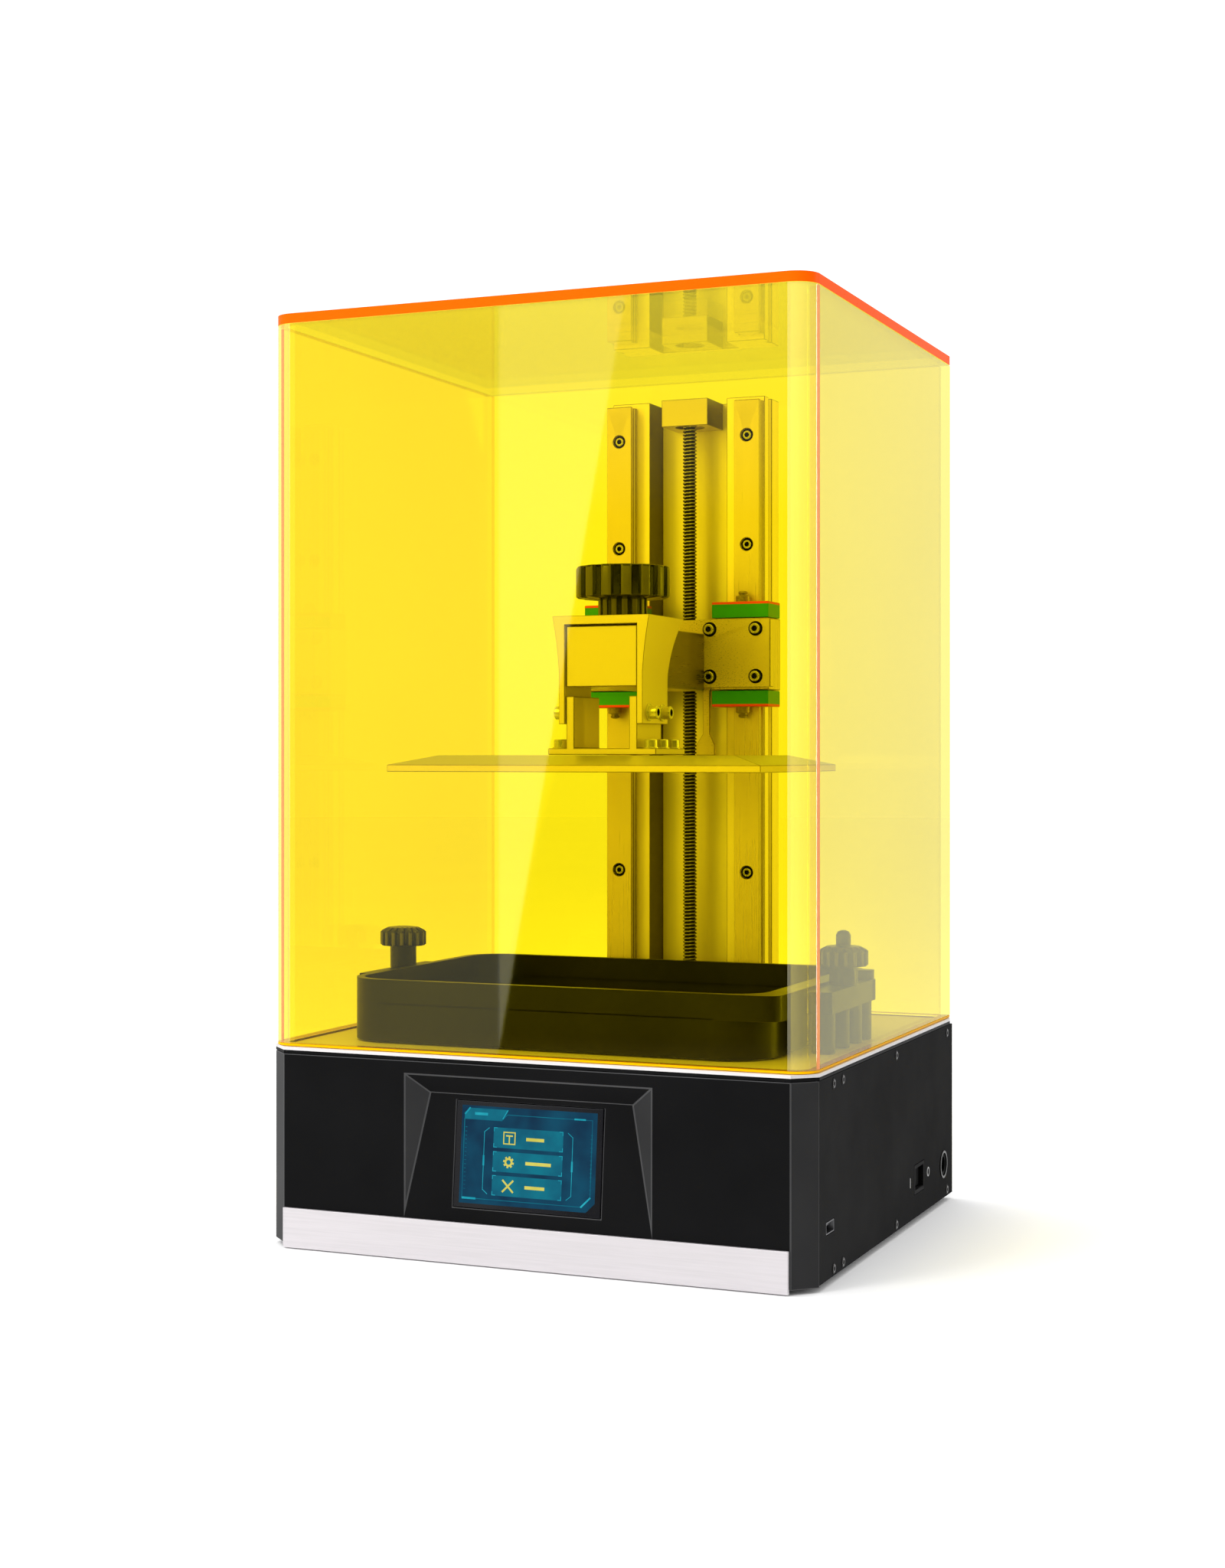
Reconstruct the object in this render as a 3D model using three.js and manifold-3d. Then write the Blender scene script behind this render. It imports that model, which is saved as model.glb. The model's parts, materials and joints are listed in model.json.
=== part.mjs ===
// Desktop resin printer: a black housing with a tilted touch screen, an aluminium top plate with
// the masking screen and the resin vat, a twin-rail Z column with a lead screw, a carriage that
// carries the build platform, and a bonded acrylic cover that lifts off.
// Millimetres, +Z up, front towards -Y, right towards +X. The origin is the middle of the footprint.
import * as THREE from 'three';
import { mergeVertices } from 'three/addons/utils/BufferGeometryUtils.js';
import { ConvexGeometry } from 'three/addons/geometries/ConvexGeometry.js';
import Module from 'manifold-3d';

// Driving dimensions
const WIDTH = 290;
const DEPTH = 270;
const HEIGHT = 475;
const HALF_W = WIDTH / 2;
const HALF_D = DEPTH / 2;
const GAP = 0.3;                 // between pieces that rest on or in each other
const SHEET = 1.5;               // housing sheet metal
const HOUSING_TOP = 98.6;
const PANEL_BOTTOM = 3.4;
const CORNER_CUT = 10.7;         // the 45 degree cut on the housing's front corners
const STRIP_THICK = 1.9;
const FASCIA_Y = -HALF_D + STRIP_THICK + GAP;
const PANEL_FRONT_Y = FASCIA_Y + CORNER_CUT;
const RETURN_END_Y = -91.7;      // the front frame runs back this far behind each side panel
const RETURN_WALL = 4;
const DECK_BOTTOM = HOUSING_TOP + GAP;
const DECK_TOP = 102;            // the top plate's upper face

const WORK_Y = -16;              // centre of the screen, vat and build plate
const SCREEN_W = 196;
const SCREEN_D = 124;
const PLATE_W = 205;             // build plate
const PLATE_D = 129;
const PLATE_BOTTOM = 241.5;      // at rest
const PLATE_RIM = 3.6;
const PLATE_CROWN = 250;
const PLATE_HIP = 20;

const VAT_W = 236;
const VAT_D = 170;
const VAT_BOTTOM = DECK_TOP + 3 * GAP;
const VAT_TOP = 134.8;
const VAT_BAND = 122;            // underside of the vat's upper band
const VAT_WALL = 4;
const VAT_CORNER = 22;
const KNOB_X = 125.5;            // vat thumbscrews
const EAR = { reach: 131.5, front: -56, back: 23, top: 133, lug: 8, lugTop: 138, leg: 11 };
const THUMB = {
  r: 12.6, ribs: 16, stem: 7.2, bottom: 143, side: 151, top: 153.4, rodR: 3.8, rodTop: 161, slack: 2.3,
};

const SCREW_Y = 101;             // lead screw axis
const COLUMN_W = 92.4;
const COLUMN_FRONT = 98;
const COLUMN_BACK = 124;
const COLUMN_TOP = 454;
const CHANNEL_HALF = 23.4;
const CHANNEL_FLOOR = 119;
const RAIL_X = 38.7;
const RAIL_W = 15;
const RAIL_FRONT = 88;
const RAIL_TOP = 451;

const BLOCK_W = 34;
const BLOCK_FRONT = 76;
const BLOCK_Z = [286.3, 327.1];
const CAP_H = 9;                  // end cap with its wiper seal
const ARM_HALF = 20;
const ARM_Z = [286, 318];
const ARM_FRONT = -34.5;
const ARM_WALL = 3;
const YOKE_TOP = 323.4;
const YOKE_PLATE = 3.2;

const COVER_HALF_W = 144;
const COVER_FRONT = -130.5;
const COVER_BACK = 134;
const COVER_WALL = 5;
const COVER_BEND = 12;
const COVER_SEAM_Y = COVER_FRONT + COVER_BEND;

const SCREEN_TILT = THREE.MathUtils.degToRad(5.4);
const RECESS = { half: 65.5, bottom: 24.5, top: 92, innerHalf: 54, innerTop: 82.7, depth: 5.6 };
const TOUCH = { w: 78, h: 52, z: 54 };

const FAN = { x: -75, z: 50, size: 60, depth: 15 };
const SWITCH = { y: 61.5, z: 23.7, w: 21, h: 15.5 };
const JACK = { y: 113.5, z: 22.4, r: 7 };
const USB = { y: -104.5, z: 27.6, w: 13.2, h: 5.8 };

const COLOURS = {
  black: [0x1b1b1d, 0.45, 0.3],
  satinBlack: [0x242426, 0.6, 0.0],
  aluminium: [0xc9cbce, 0.35, 0.9],
  brushed: [0xdcdcdf, 0.3, 0.95],
  steel: [0xb8babd, 0.3, 1.0],
  darkSteel: [0x4a4a4c, 0.35, 0.9],
  anodised: [0x151517, 0.35, 0.6],
  green: [0x1f9a3a, 0.5, 0.0],
  yellow: [0xffe000, 0.1, 0.0],
  rubber: [0x101010, 0.9, 0.0],
  brass: [0xb8923e, 0.35, 1.0],
  board: [0x1d5a34, 0.6, 0.0],
  glass: [0x101418, 0.08, 0.0],
  film: [0xe8eef0, 0.15, 0.0],
};

const wasm = await Module();
wasm.setup();
const printer = new THREE.Group();

// Shape helpers: each returns a closed geometry already in place.
function span([x0, x1], [y0, y1], [z0, z1]) {
  const box = new THREE.BoxGeometry(x1 - x0, y1 - y0, z1 - z0);
  return box.translate((x0 + x1) / 2, (y0 + y1) / 2, (z0 + z1) / 2);
}

function rodZ(radius, [z0, z1], x = 0, y = 0, sides = 24) {
  const rod = new THREE.CylinderGeometry(radius, radius, z1 - z0, sides);
  return rod.rotateX(Math.PI / 2).translate(x, y, (z0 + z1) / 2);
}

function rodX(radius, [x0, x1], y, z, sides = 24) {
  const rod = new THREE.CylinderGeometry(radius, radius, x1 - x0, sides);
  return rod.rotateZ(Math.PI / 2).translate((x0 + x1) / 2, y, z);
}

function rodY(radius, [y0, y1], x, z, sides = 24) {
  const rod = new THREE.CylinderGeometry(radius, radius, y1 - y0, sides);
  return rod.translate(x, (y0 + y1) / 2, z);
}

function slab(outline, [z0, z1], curveSegments = 6) {
  const settings = { depth: z1 - z0, bevelEnabled: false, curveSegments };
  return new THREE.ExtrudeGeometry(outline, settings).translate(0, 0, z0);
}

// An outline drawn in X and Z, extruded along Y.
function frontProfile(outline, [y0, y1], curveSegments = 6) {
  return slab(outline, [-y1, -y0], curveSegments).rotateX(Math.PI / 2);
}

// An outline drawn in Y and Z, extruded along X.
function sideProfile(outline, [x0, x1], curveSegments = 6) {
  return slab(outline, [x0, x1], curveSegments).rotateY(Math.PI / 2).rotateX(Math.PI / 2);
}

function polygon(points) {
  return new THREE.Shape(points.map(([x, y]) => new THREE.Vector2(x, y)));
}

// Rectangle with its own radius at each corner: front left, front right, back right, back left.
function roundedRect([x0, x1], [y0, y1], [fl, fr, br, bl]) {
  const shape = new THREE.Shape();
  shape.absarc(x0 + fl, y0 + fl, fl, Math.PI, 1.5 * Math.PI, false);
  shape.absarc(x1 - fr, y0 + fr, fr, 1.5 * Math.PI, 2 * Math.PI, false);
  shape.absarc(x1 - br, y1 - br, br, 0, 0.5 * Math.PI, false);
  shape.absarc(x0 + bl, y1 - bl, bl, 0.5 * Math.PI, Math.PI, false);
  return shape;
}

// A knob's outline: a circle whose edge rises and falls in a number of lobes.
function lobedCircle(radius, lobes, height, steps = 6) {
  const count = lobes * steps;
  const points = Array.from({ length: count }, (_, i) => {
    const angle = (2 * Math.PI * i) / count;
    const r = radius - height / 2 + (height / 2) * Math.cos(lobes * angle);
    return [r * Math.cos(angle), r * Math.sin(angle)];
  });
  return polygon(points);
}

function toSolid(geometry) {
  const bare = geometry.clone();
  bare.deleteAttribute('normal');
  bare.deleteAttribute('uv');
  const merged = mergeVertices(bare, 1e-4);
  return new wasm.Manifold(new wasm.Mesh({
    numProp: 3,
    vertProperties: merged.attributes.position.array,
    triVerts: Uint32Array.from(merged.index.array),
  }));
}

function toGeometry(solid) {
  const mesh = solid.getMesh();
  const geometry = new THREE.BufferGeometry();
  geometry.setAttribute('position', new THREE.BufferAttribute(mesh.vertProperties, 3));
  geometry.setIndex(new THREE.BufferAttribute(mesh.triVerts, 1));
  geometry.computeVertexNormals();
  return geometry;
}

function cut(base, tools) {
  return toGeometry(tools.reduce((left, tool) => left.subtract(toSolid(tool)), toSolid(base)));
}

function join(pieces) {
  return toGeometry(pieces.slice(1).reduce((sum, piece) => sum.add(toSolid(piece)), toSolid(pieces[0])));
}

function common(first, second) {
  return toGeometry(toSolid(first).intersect(toSolid(second)));
}

function mirrored(range) {
  return [-range[1], -range[0]];
}

// The same range on the left (side -1) or the right (side 1).
function onSide(side, range) {
  return side > 0 ? range : mirrored(range);
}

function add(name, colour, geometry) {
  const [color, roughness, metalness] = COLOURS[colour];
  const material = new THREE.MeshStandardMaterial({ color, roughness, metalness });
  const mesh = new THREE.Mesh(geometry, material);
  mesh.name = name;
  printer.add(mesh);
}

const SIDES = [[-1, 'left'], [1, 'right']];

// ---- Housing ----
function frontFrame() {
  const inner = HALF_W - SHEET - GAP;
  const wall = 9;
  const right = [
    [HALF_W - CORNER_CUT, FASCIA_Y],
    [HALF_W, PANEL_FRONT_Y],
    [inner, PANEL_FRONT_Y],
    [inner, RETURN_END_Y],
    [inner - RETURN_WALL, RETURN_END_Y],
    [inner - RETURN_WALL, PANEL_FRONT_Y + 3],
    [inner - 10, FASCIA_Y + wall],
  ];
  const left = right.map(([x, y]) => [-x, y]).reverse();
  const shell = slab(polygon([...right, ...left]), [PANEL_BOTTOM - 1, HOUSING_TOP]);
  const outside = FASCIA_Y - 5;
  const corners = [
    [RECESS.half, outside, RECESS.bottom], [RECESS.half, outside, RECESS.top],
    [RECESS.half, FASCIA_Y, RECESS.bottom], [RECESS.half, FASCIA_Y, RECESS.top],
    [RECESS.innerHalf, FASCIA_Y + RECESS.depth, RECESS.innerTop],
  ];
  const both = corners.flatMap(([x, y, z]) => [new THREE.Vector3(x, y, z), new THREE.Vector3(-x, y, z)]);
  const window = onTilt(TOUCH.w + 2 * GAP, TOUCH.h + 2 * GAP, [-2, 12]);
  const usbHole = centred([HALF_W - 15, HALF_W + 5], USB, GAP);
  return cut(shell, [new ConvexGeometry(both), window, usbHole]);
}

// A box on the recess's tilted face: its depth range is measured inwards from that face.
function onTilt(width, height, [near, far]) {
  const box = new THREE.BoxGeometry(width, far - near, height);
  const faceY = FASCIA_Y + (TOUCH.z - RECESS.bottom) * Math.tan(SCREEN_TILT);
  return box.translate(0, (near + far) / 2, 0).rotateX(-SCREEN_TILT).translate(0, faceY, TOUCH.z);
}

function sidePanel(side) {
  const x = onSide(side, [HALF_W - SHEET, HALF_W]);
  const panel = span(x, [PANEL_FRONT_Y + GAP, HALF_D], [PANEL_BOTTOM, HOUSING_TOP]);
  if (side < 0) return panel;
  const through = [HALF_W - 5, HALF_W + 5];
  return cut(panel, [
    rodX(JACK.r + GAP, through, JACK.y, JACK.z),
    centred(through, SWITCH, GAP),
    centred(through, USB, GAP),
  ]);
}

// A box through the right side for a socket or switch, grown by a margin all round.
function centred(xRange, item, margin) {
  const y = [item.y - item.w / 2 - margin, item.y + item.w / 2 + margin];
  const z = [item.z - item.h / 2 - margin, item.z + item.h / 2 + margin];
  return span(xRange, y, z);
}

function rearPanel() {
  const edge = HALF_W - SHEET - GAP;
  const panel = span([-edge, edge], [HALF_D - SHEET, HALF_D], [PANEL_BOTTOM, HOUSING_TOP]);
  const slots = [-3, -2, -1, 0, 1, 2, 3].map((row) => {
    const half = Math.sqrt(26 ** 2 - (row * 7) ** 2);
    const z = FAN.z + row * 7;
    return span([FAN.x - half, FAN.x + half], [HALF_D - 5, HALF_D + 5], [z - 2, z + 2]);
  });
  const intake = [0, 1, 2, 3, 4].map((row) => {
    const z = 28 + row * 9;
    return span([45, 105], [HALF_D - 5, HALF_D + 5], [z - 2, z + 2]);
  });
  return cut(panel, [...slots, ...intake]);
}

// A tray that narrows at the front, where it runs between the front frame's two returns.
function basePan() {
  const wide = HALF_W - SHEET - GAP;
  const narrow = wide - RETURN_WALL - GAP;
  const [front, step, back] = [PANEL_FRONT_Y + 4, RETURN_END_Y + GAP, HALF_D - SHEET - GAP];
  const right = [[narrow, front], [narrow, step], [wide, step], [wide, back]];
  const left = right.map(([x, y]) => [-x, y]).reverse();
  const floor = slab(polygon([...right, ...left]), [4, 5.5]);
  const flanges = SIDES.map(([side]) => span(onSide(side, [wide - SHEET, wide]), [step, back], [5, 14]));
  const vents = [-3, -2, -1, 0, 1, 2, 3].map((i) => span([i * 14 - 3, i * 14 + 3], [-60, 30], [0, 9]));
  return cut(join([floor, ...flanges]), vents);
}

function topPlate() {
  const r = 6;
  const outline = new THREE.Shape();
  outline.moveTo(-HALF_W + CORNER_CUT, FASCIA_Y);
  outline.lineTo(HALF_W - CORNER_CUT, FASCIA_Y);
  outline.lineTo(HALF_W, PANEL_FRONT_Y);
  outline.absarc(HALF_W - r, HALF_D - r, r, 0, 0.5 * Math.PI, false);
  outline.absarc(-HALF_W + r, HALF_D - r, r, 0.5 * Math.PI, Math.PI, false);
  outline.lineTo(-HALF_W, PANEL_FRONT_Y);
  const through = [DECK_BOTTOM - 5, DECK_TOP + 5];
  const window = span(
    [-SCREEN_W / 2, SCREEN_W / 2],
    [WORK_Y - SCREEN_D / 2, WORK_Y + SCREEN_D / 2],
    through,
  );
  const knobHoles = SIDES.map(([side]) => rodZ(3.6, through, side * KNOB_X, WORK_Y, 16));
  return cut(slab(outline, [DECK_BOTTOM, DECK_TOP]), [window, rodZ(7, through, 0, SCREW_Y), ...knobHoles]);
}

function addHousing() {
  add('base_pan', 'black', basePan());
  add('front_frame', 'black', frontFrame());
  SIDES.forEach(([side, name]) => add(`side_panel_${name}`, 'black', sidePanel(side)));
  add('rear_panel', 'black', rearPanel());
  add('top_plate', 'aluminium', topPlate());
  const stripX = [-HALF_W + CORNER_CUT + 0.6, HALF_W - CORNER_CUT - 0.6];
  add('front_strip', 'brushed', span(stripX, [-HALF_D, -HALF_D + STRIP_THICK], [0.6, 20.7]));
  const footY = [-104, 110];
  SIDES.forEach(([side, name]) => footY.forEach((y, i) => {
    add(`foot_${i ? 'rear' : 'front'}_${name}`, 'rubber', rodZ(9, [0, 3.7], side * 118, y));
  }));
  add('touch_glass', 'glass', onTilt(TOUCH.w, TOUCH.h, [-0.1, 1.4]));
  add('touch_display', 'darkSteel', onTilt(TOUCH.w - 2, TOUCH.h - 2, [1.7, 6]));
}

// ---- Light engine and electronics inside the housing ----
function lightBox() {
  const [w, d, z] = [208, 136, [40, 98.3]];
  const outer = span([-w / 2, w / 2], [WORK_Y - d / 2, WORK_Y + d / 2], z);
  const inner = span([-w / 2 + 2, w / 2 - 2], [WORK_Y - d / 2 + 2, WORK_Y + d / 2 - 2], [z[0] - 5, z[1] + 5]);
  return cut(outer, [inner]);
}

function ledBoard() {
  const board = span([-100, 100], [WORK_Y - 64, WORK_Y + 64], [33.4, 35]);
  const leds = [-3, -2, -1, 0, 1, 2, 3].flatMap((i) => [-1.5, -0.5, 0.5, 1.5].map((j) => {
    const [x, y] = [i * 28, WORK_Y + j * 30];
    return span([x - 3, x + 3], [y - 3, y + 3], [34.5, 36.6]);
  }));
  return join([board, ...leds]);
}

function heatSink() {
  const base = span([-100, 100], [WORK_Y - 60, WORK_Y + 60], [28, 33.1]);
  const fins = Array.from({ length: 13 }, (_, i) => {
    const y = WORK_Y - 57 + i * 9.5;
    return span([-100, 100], [y - 1, y + 1], [12, 29]);
  });
  return join([base, ...fins]);
}

function fanFrame() {
  const half = FAN.size / 2;
  const back = HALF_D - SHEET - GAP;
  const frame = span([FAN.x - half, FAN.x + half], [back - FAN.depth, back], [FAN.z - half, FAN.z + half]);
  const bore = rodY(28.4, [back - FAN.depth - 1, back + 1], FAN.x, FAN.z, 32);
  const hub = rodY(12, [back - 3, back], FAN.x, FAN.z);
  const struts = [0, 1, 2].map((i) => {
    const strut = new THREE.BoxGeometry(3, 2, 58).rotateY((i * Math.PI) / 3 + 0.3);
    return strut.translate(FAN.x, back - 1.5, FAN.z);
  });
  return join([cut(frame, [bore]), hub, ...struts]);
}

function fanRotor() {
  const back = HALF_D - SHEET - GAP - 3.5;
  const hub = rodY(11, [back - 10.5, back], FAN.x, FAN.z);
  const blades = Array.from({ length: 7 }, (_, i) => {
    const blade = new THREE.BoxGeometry(9.5, 1.4, 17).rotateZ(0.6).translate(0, 0, 18.5);
    return blade.rotateY((i * 2 * Math.PI) / 7).translate(FAN.x, back - 5.2, FAN.z);
  });
  return join([hub, ...blades]);
}

function mainBoard() {
  const x = -HALF_W + 12;
  const board = span([x, x + 1.6], [-70, 50], [14.5, 86]);
  const chips = [[-50, 30, 20, 14], [-10, 60, 16, 16], [20, 30, 26, 10], [30, 70, 12, 12]];
  const blocks = chips.map(([y, z, w, h]) => span([x + 1, x + 6], [y - w / 2, y + w / 2], [z - h / 2, z + h / 2]));
  return join([board, ...blocks]);
}

function addInternals() {
  const window = [[-SCREEN_W / 2 + GAP, SCREEN_W / 2 - GAP],
    [WORK_Y - SCREEN_D / 2 + GAP, WORK_Y + SCREEN_D / 2 - GAP]];
  add('masking_screen', 'glass', span(...window, [DECK_BOTTOM + 0.2, DECK_TOP]));
  add('light_box', 'satinBlack', lightBox());
  add('light_lens', 'film', span([-102, 102], [WORK_Y - 66, WORK_Y + 66], [37, 39.6]));
  add('led_board', 'board', ledBoard());
  add('heat_sink', 'aluminium', heatSink());
  add('fan_frame', 'satinBlack', fanFrame());
  add('fan_rotor', 'satinBlack', fanRotor());
  add('main_board', 'board', mainBoard());
}

// ---- Sockets and the power switch on the right side ----
function switchHousing() {
  const cavity = centred([HALF_W - 11, HALF_W + 5], { ...SWITCH, w: 17, h: 11.4 }, 0);
  return cut(centred([HALF_W - 14, HALF_W], SWITCH, 0), [cavity]);
}

function switchRocker() {
  const half = 8.1;
  const outline = polygon([
    [HALF_W - 0.4, -half], [HALF_W - 2.6, 0], [HALF_W - 2.4, half],
    [HALF_W - 5.4, half - 0.4], [HALF_W - 8, 0], [HALF_W - 5.4, -half + 0.4],
  ]);
  return slab(outline, [SWITCH.z - 5.3, SWITCH.z + 5.3]).translate(0, SWITCH.y, 0);
}

function dcJack() {
  const barrel = rodX(JACK.r, [HALF_W - 15, HALF_W], JACK.y, JACK.z);
  const bore = rodX(4.2, [HALF_W - 10, HALF_W + 1], JACK.y, JACK.z);
  const pin = rodX(1.2, [HALF_W - 11, HALF_W - 1], JACK.y, JACK.z, 12);
  return join([cut(barrel, [bore]), pin]);
}

function usbPort() {
  const shell = centred([HALF_W - 17, HALF_W - 0.2], USB, 0);
  const mouth = centred([HALF_W - 13, HALF_W + 1], USB, -0.6);
  const tongue = span([HALF_W - 14, HALF_W - 2], [USB.y - 5.5, USB.y + 5.5], [USB.z + 0.3, USB.z + 1.8]);
  return join([cut(shell, [mouth]), tongue]);
}

function addSockets() {
  add('switch_housing', 'satinBlack', switchHousing());
  add('power_rocker', 'satinBlack', switchRocker());
  add('dc_jack', 'satinBlack', dcJack());
  add('usb_port', 'steel', usbPort());
}

// ---- Z column, rails, motor and lead screw ----
function column() {
  const half = COLUMN_W / 2;
  const right = [
    [CHANNEL_HALF, CHANNEL_FLOOR], [CHANNEL_HALF, COLUMN_FRONT], [half, COLUMN_FRONT],
    [half, 105], [half - 2, 106], [half - 2, 110], [half, 111], [half, COLUMN_BACK],
  ];
  const left = right.map(([x, y]) => [-x, y]).reverse();
  return slab(polygon([...right, ...left]), [DECK_TOP + GAP, COLUMN_TOP]);
}

function rail(x) {
  const half = RAIL_W / 2;
  const back = COLUMN_FRONT - GAP;
  const right = [[half, RAIL_FRONT], [half, 91], [half - 1.6, 92.5], [half - 1.6, 95], [half, 96], [half, back]];
  const left = right.map(([px, py]) => [-px, py]).reverse();
  return slab(polygon([...right, ...left]), [DECK_TOP + GAP, RAIL_TOP]).translate(x, 0, 0);
}

function topBearingBlock() {
  const block = span([-14, 14], [92, CHANNEL_FLOOR - GAP], [438.6, COLUMN_TOP]);
  return cut(block, [rodZ(8.3, [430, 460], 0, SCREW_Y)]);
}

function topBearing() {
  return cut(rodZ(8, [440, 445], 0, SCREW_Y), [rodZ(4.3, [435, 450], 0, SCREW_Y, 16)]);
}

function stepperMotor() {
  const half = 21.1;
  const cornerCut = 4;
  const square = polygon([
    [-half + cornerCut, -half], [half - cornerCut, -half], [half, -half + cornerCut],
    [half, half - cornerCut], [half - cornerCut, half], [-half + cornerCut, half],
    [-half, half - cornerCut], [-half, -half + cornerCut],
  ]);
  const body = slab(square, [50, 98.3]).translate(0, SCREW_Y, 0);
  return cut(body, [rodZ(3.2, [90, 100], 0, SCREW_Y, 16)]);
}

function coupler() {
  return cut(rodZ(9, [105, 129], 0, SCREW_Y), [
    rodZ(2.8, [100, 117], 0, SCREW_Y, 16),
    rodZ(4.3, [116, 135], 0, SCREW_Y, 16),
  ]);
}

function limitSensor() {
  const body = span([10, 21], [104, CHANNEL_FLOOR - GAP], [103, 117]);
  const prong = span([10, 21], [91.5, 105], [103, 106]);
  return join([body, prong]);
}

function addColumn() {
  add('z_column', 'aluminium', column());
  SIDES.forEach(([side, name]) => add(`rail_${name}`, 'steel', rail(side * RAIL_X)));
  add('top_bearing_block', 'aluminium', topBearingBlock());
  add('top_bearing', 'steel', topBearing());
  add('stepper_motor', 'black', stepperMotor());
  add('limit_sensor', 'satinBlack', limitSensor());
  add('motor_shaft', 'steel', rodZ(2.5, [92, 115], 0, SCREW_Y, 16));
  add('coupler', 'aluminium', coupler());
  add('lead_screw', 'darkSteel', rodZ(4, [117.3, 450], 0, SCREW_Y, 20));
}

// ---- Carriage ----
// One slice of a rail block: a U that wraps the rail.
function blockSlice(x, zRange, inset = 0) {
  const half = BLOCK_W / 2 - inset;
  const groove = RAIL_W / 2 + GAP;
  const body = span([x - half, x + half], [BLOCK_FRONT + inset, COLUMN_FRONT - 0.5], zRange);
  const slot = span([x - groove, x + groove], [RAIL_FRONT - GAP, COLUMN_FRONT + 5], [0, HEIGHT]);
  return cut(body, [slot]);
}

function carriagePlate() {
  const plate = span([-58.6, 58.6], [70, BLOCK_FRONT - GAP], [288, 326]);
  const hole = rodY(4.2, [60, 72.5], 0, 307, 16);
  return cut(plate, [hole]);
}

function liftArm() {
  const outer = span([-ARM_HALF, ARM_HALF], [ARM_FRONT, 70 - GAP], ARM_Z);
  const inside = ARM_HALF - ARM_WALL;
  const hollow = span([-inside, inside], [ARM_FRONT + 2, 75], [ARM_Z[0] + ARM_WALL, ARM_Z[1] - ARM_WALL]);
  return cut(outer, [hollow]);
}

function nutBracket() {
  const block = span([-13, 13], [BLOCK_FRONT, 112], [298, 312]);
  return cut(block, [rodZ(7.3, [290, 320], 0, SCREW_Y)]);
}

function leadNut() {
  const body = join([rodZ(7, [296, 313], 0, SCREW_Y), rodZ(11, [312.3, 316], 0, SCREW_Y)]);
  return cut(body, [rodZ(4.4, [290, 320], 0, SCREW_Y, 20)]);
}

function sensorFlag() {
  const outline = polygon([
    [10, 297.7], [10, 291], [14, 286], [14, 262], [10, 256], [10, 250],
    [21, 250], [21, 256], [18, 262], [18, 286], [21, 291], [21, 297.7],
  ]);
  const plate = frontProfile(outline, [84, 86.5]);
  const foot = span([10, 12.7], [84, 96], [292, 297.7]);
  return join([plate, foot]);
}

function addCarriage() {
  SIDES.forEach(([side, name]) => {
    const x = side * RAIL_X;
    const [z0, z1] = BLOCK_Z;
    add(`rail_block_${name}`, 'steel', blockSlice(x, [z0 + GAP, z1 - GAP]));
    add(`end_cap_upper_${name}`, 'green', blockSlice(x, [z1, z1 + CAP_H], 0.3));
    add(`end_cap_lower_${name}`, 'green', blockSlice(x, [z0 - CAP_H, z0], 0.3));
  });
  add('carriage_plate', 'aluminium', carriagePlate());
  add('lift_arm', 'aluminium', liftArm());
  add('nut_bracket', 'aluminium', nutBracket());
  add('lead_nut', 'brass', leadNut());
  add('sensor_flag', 'black', sensorFlag());
}

// ---- Platform ----
// Inverted U over the arm, flared at its top corners, with curved rear edges.
function yoke() {
  const inner = ARM_HALF + 0.4;
  const outer = inner + YOKE_PLATE;
  const flare = 27.4;
  const bottom = 266.5;
  const profile = new THREE.Shape();
  profile.moveTo(-flare, YOKE_TOP);
  profile.quadraticCurveTo(-outer - 1, YOKE_TOP - 14, -outer, YOKE_TOP - 30);
  profile.lineTo(-outer, bottom);
  profile.lineTo(-inner, bottom);
  profile.lineTo(-inner, ARM_Z[1] + 0.8);
  profile.lineTo(inner, ARM_Z[1] + 0.8);
  profile.lineTo(inner, bottom);
  profile.lineTo(outer, bottom);
  profile.lineTo(outer, YOKE_TOP - 30);
  profile.quadraticCurveTo(outer + 1, YOKE_TOP - 14, flare, YOKE_TOP);
  const side = new THREE.Shape();
  side.moveTo(-36, YOKE_TOP + 1);
  side.lineTo(-36, bottom - 1);
  side.lineTo(1.3, bottom - 1);
  side.lineTo(1.3, 290);
  side.quadraticCurveTo(3, 308, 17, YOKE_TOP + 1);
  const screwHole = rodZ(4.5, [310, 330], 0, -4, 16);
  return cut(common(frontProfile(profile, [-40, 20]), sideProfile(side, [-40, 40])), [screwHole]);
}

function footBracket() {
  const [bottom, top] = [PLATE_CROWN + GAP, 281];
  const flange = span([-30.5, 30.5], [-34.5, 9], [bottom, bottom + 3.4]);
  const uprights = SIDES.map(([side]) => span(onSide(side, [15.5, 20]), [-34.5, 1], [bottom + 1, top]));
  return join([flange, ...uprights]);
}

function buildPlate() {
  const [halfW, y0, y1] = [PLATE_W / 2, WORK_Y - PLATE_D / 2, WORK_Y + PLATE_D / 2];
  const rimTop = PLATE_BOTTOM + PLATE_RIM;
  const corners = [[halfW, y0], [halfW, y1]].flatMap(([x, y]) => [
    [x, y, PLATE_BOTTOM], [-x, y, PLATE_BOTTOM], [x, y, rimTop], [-x, y, rimTop],
  ]);
  const crown = [y0 + PLATE_HIP, y1 - PLATE_HIP].flatMap((y) => [
    [halfW - PLATE_HIP, y, PLATE_CROWN], [-halfW + PLATE_HIP, y, PLATE_CROWN],
  ]);
  return new ConvexGeometry([...corners, ...crown].map(([x, y, z]) => new THREE.Vector3(x, y, z)));
}

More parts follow.
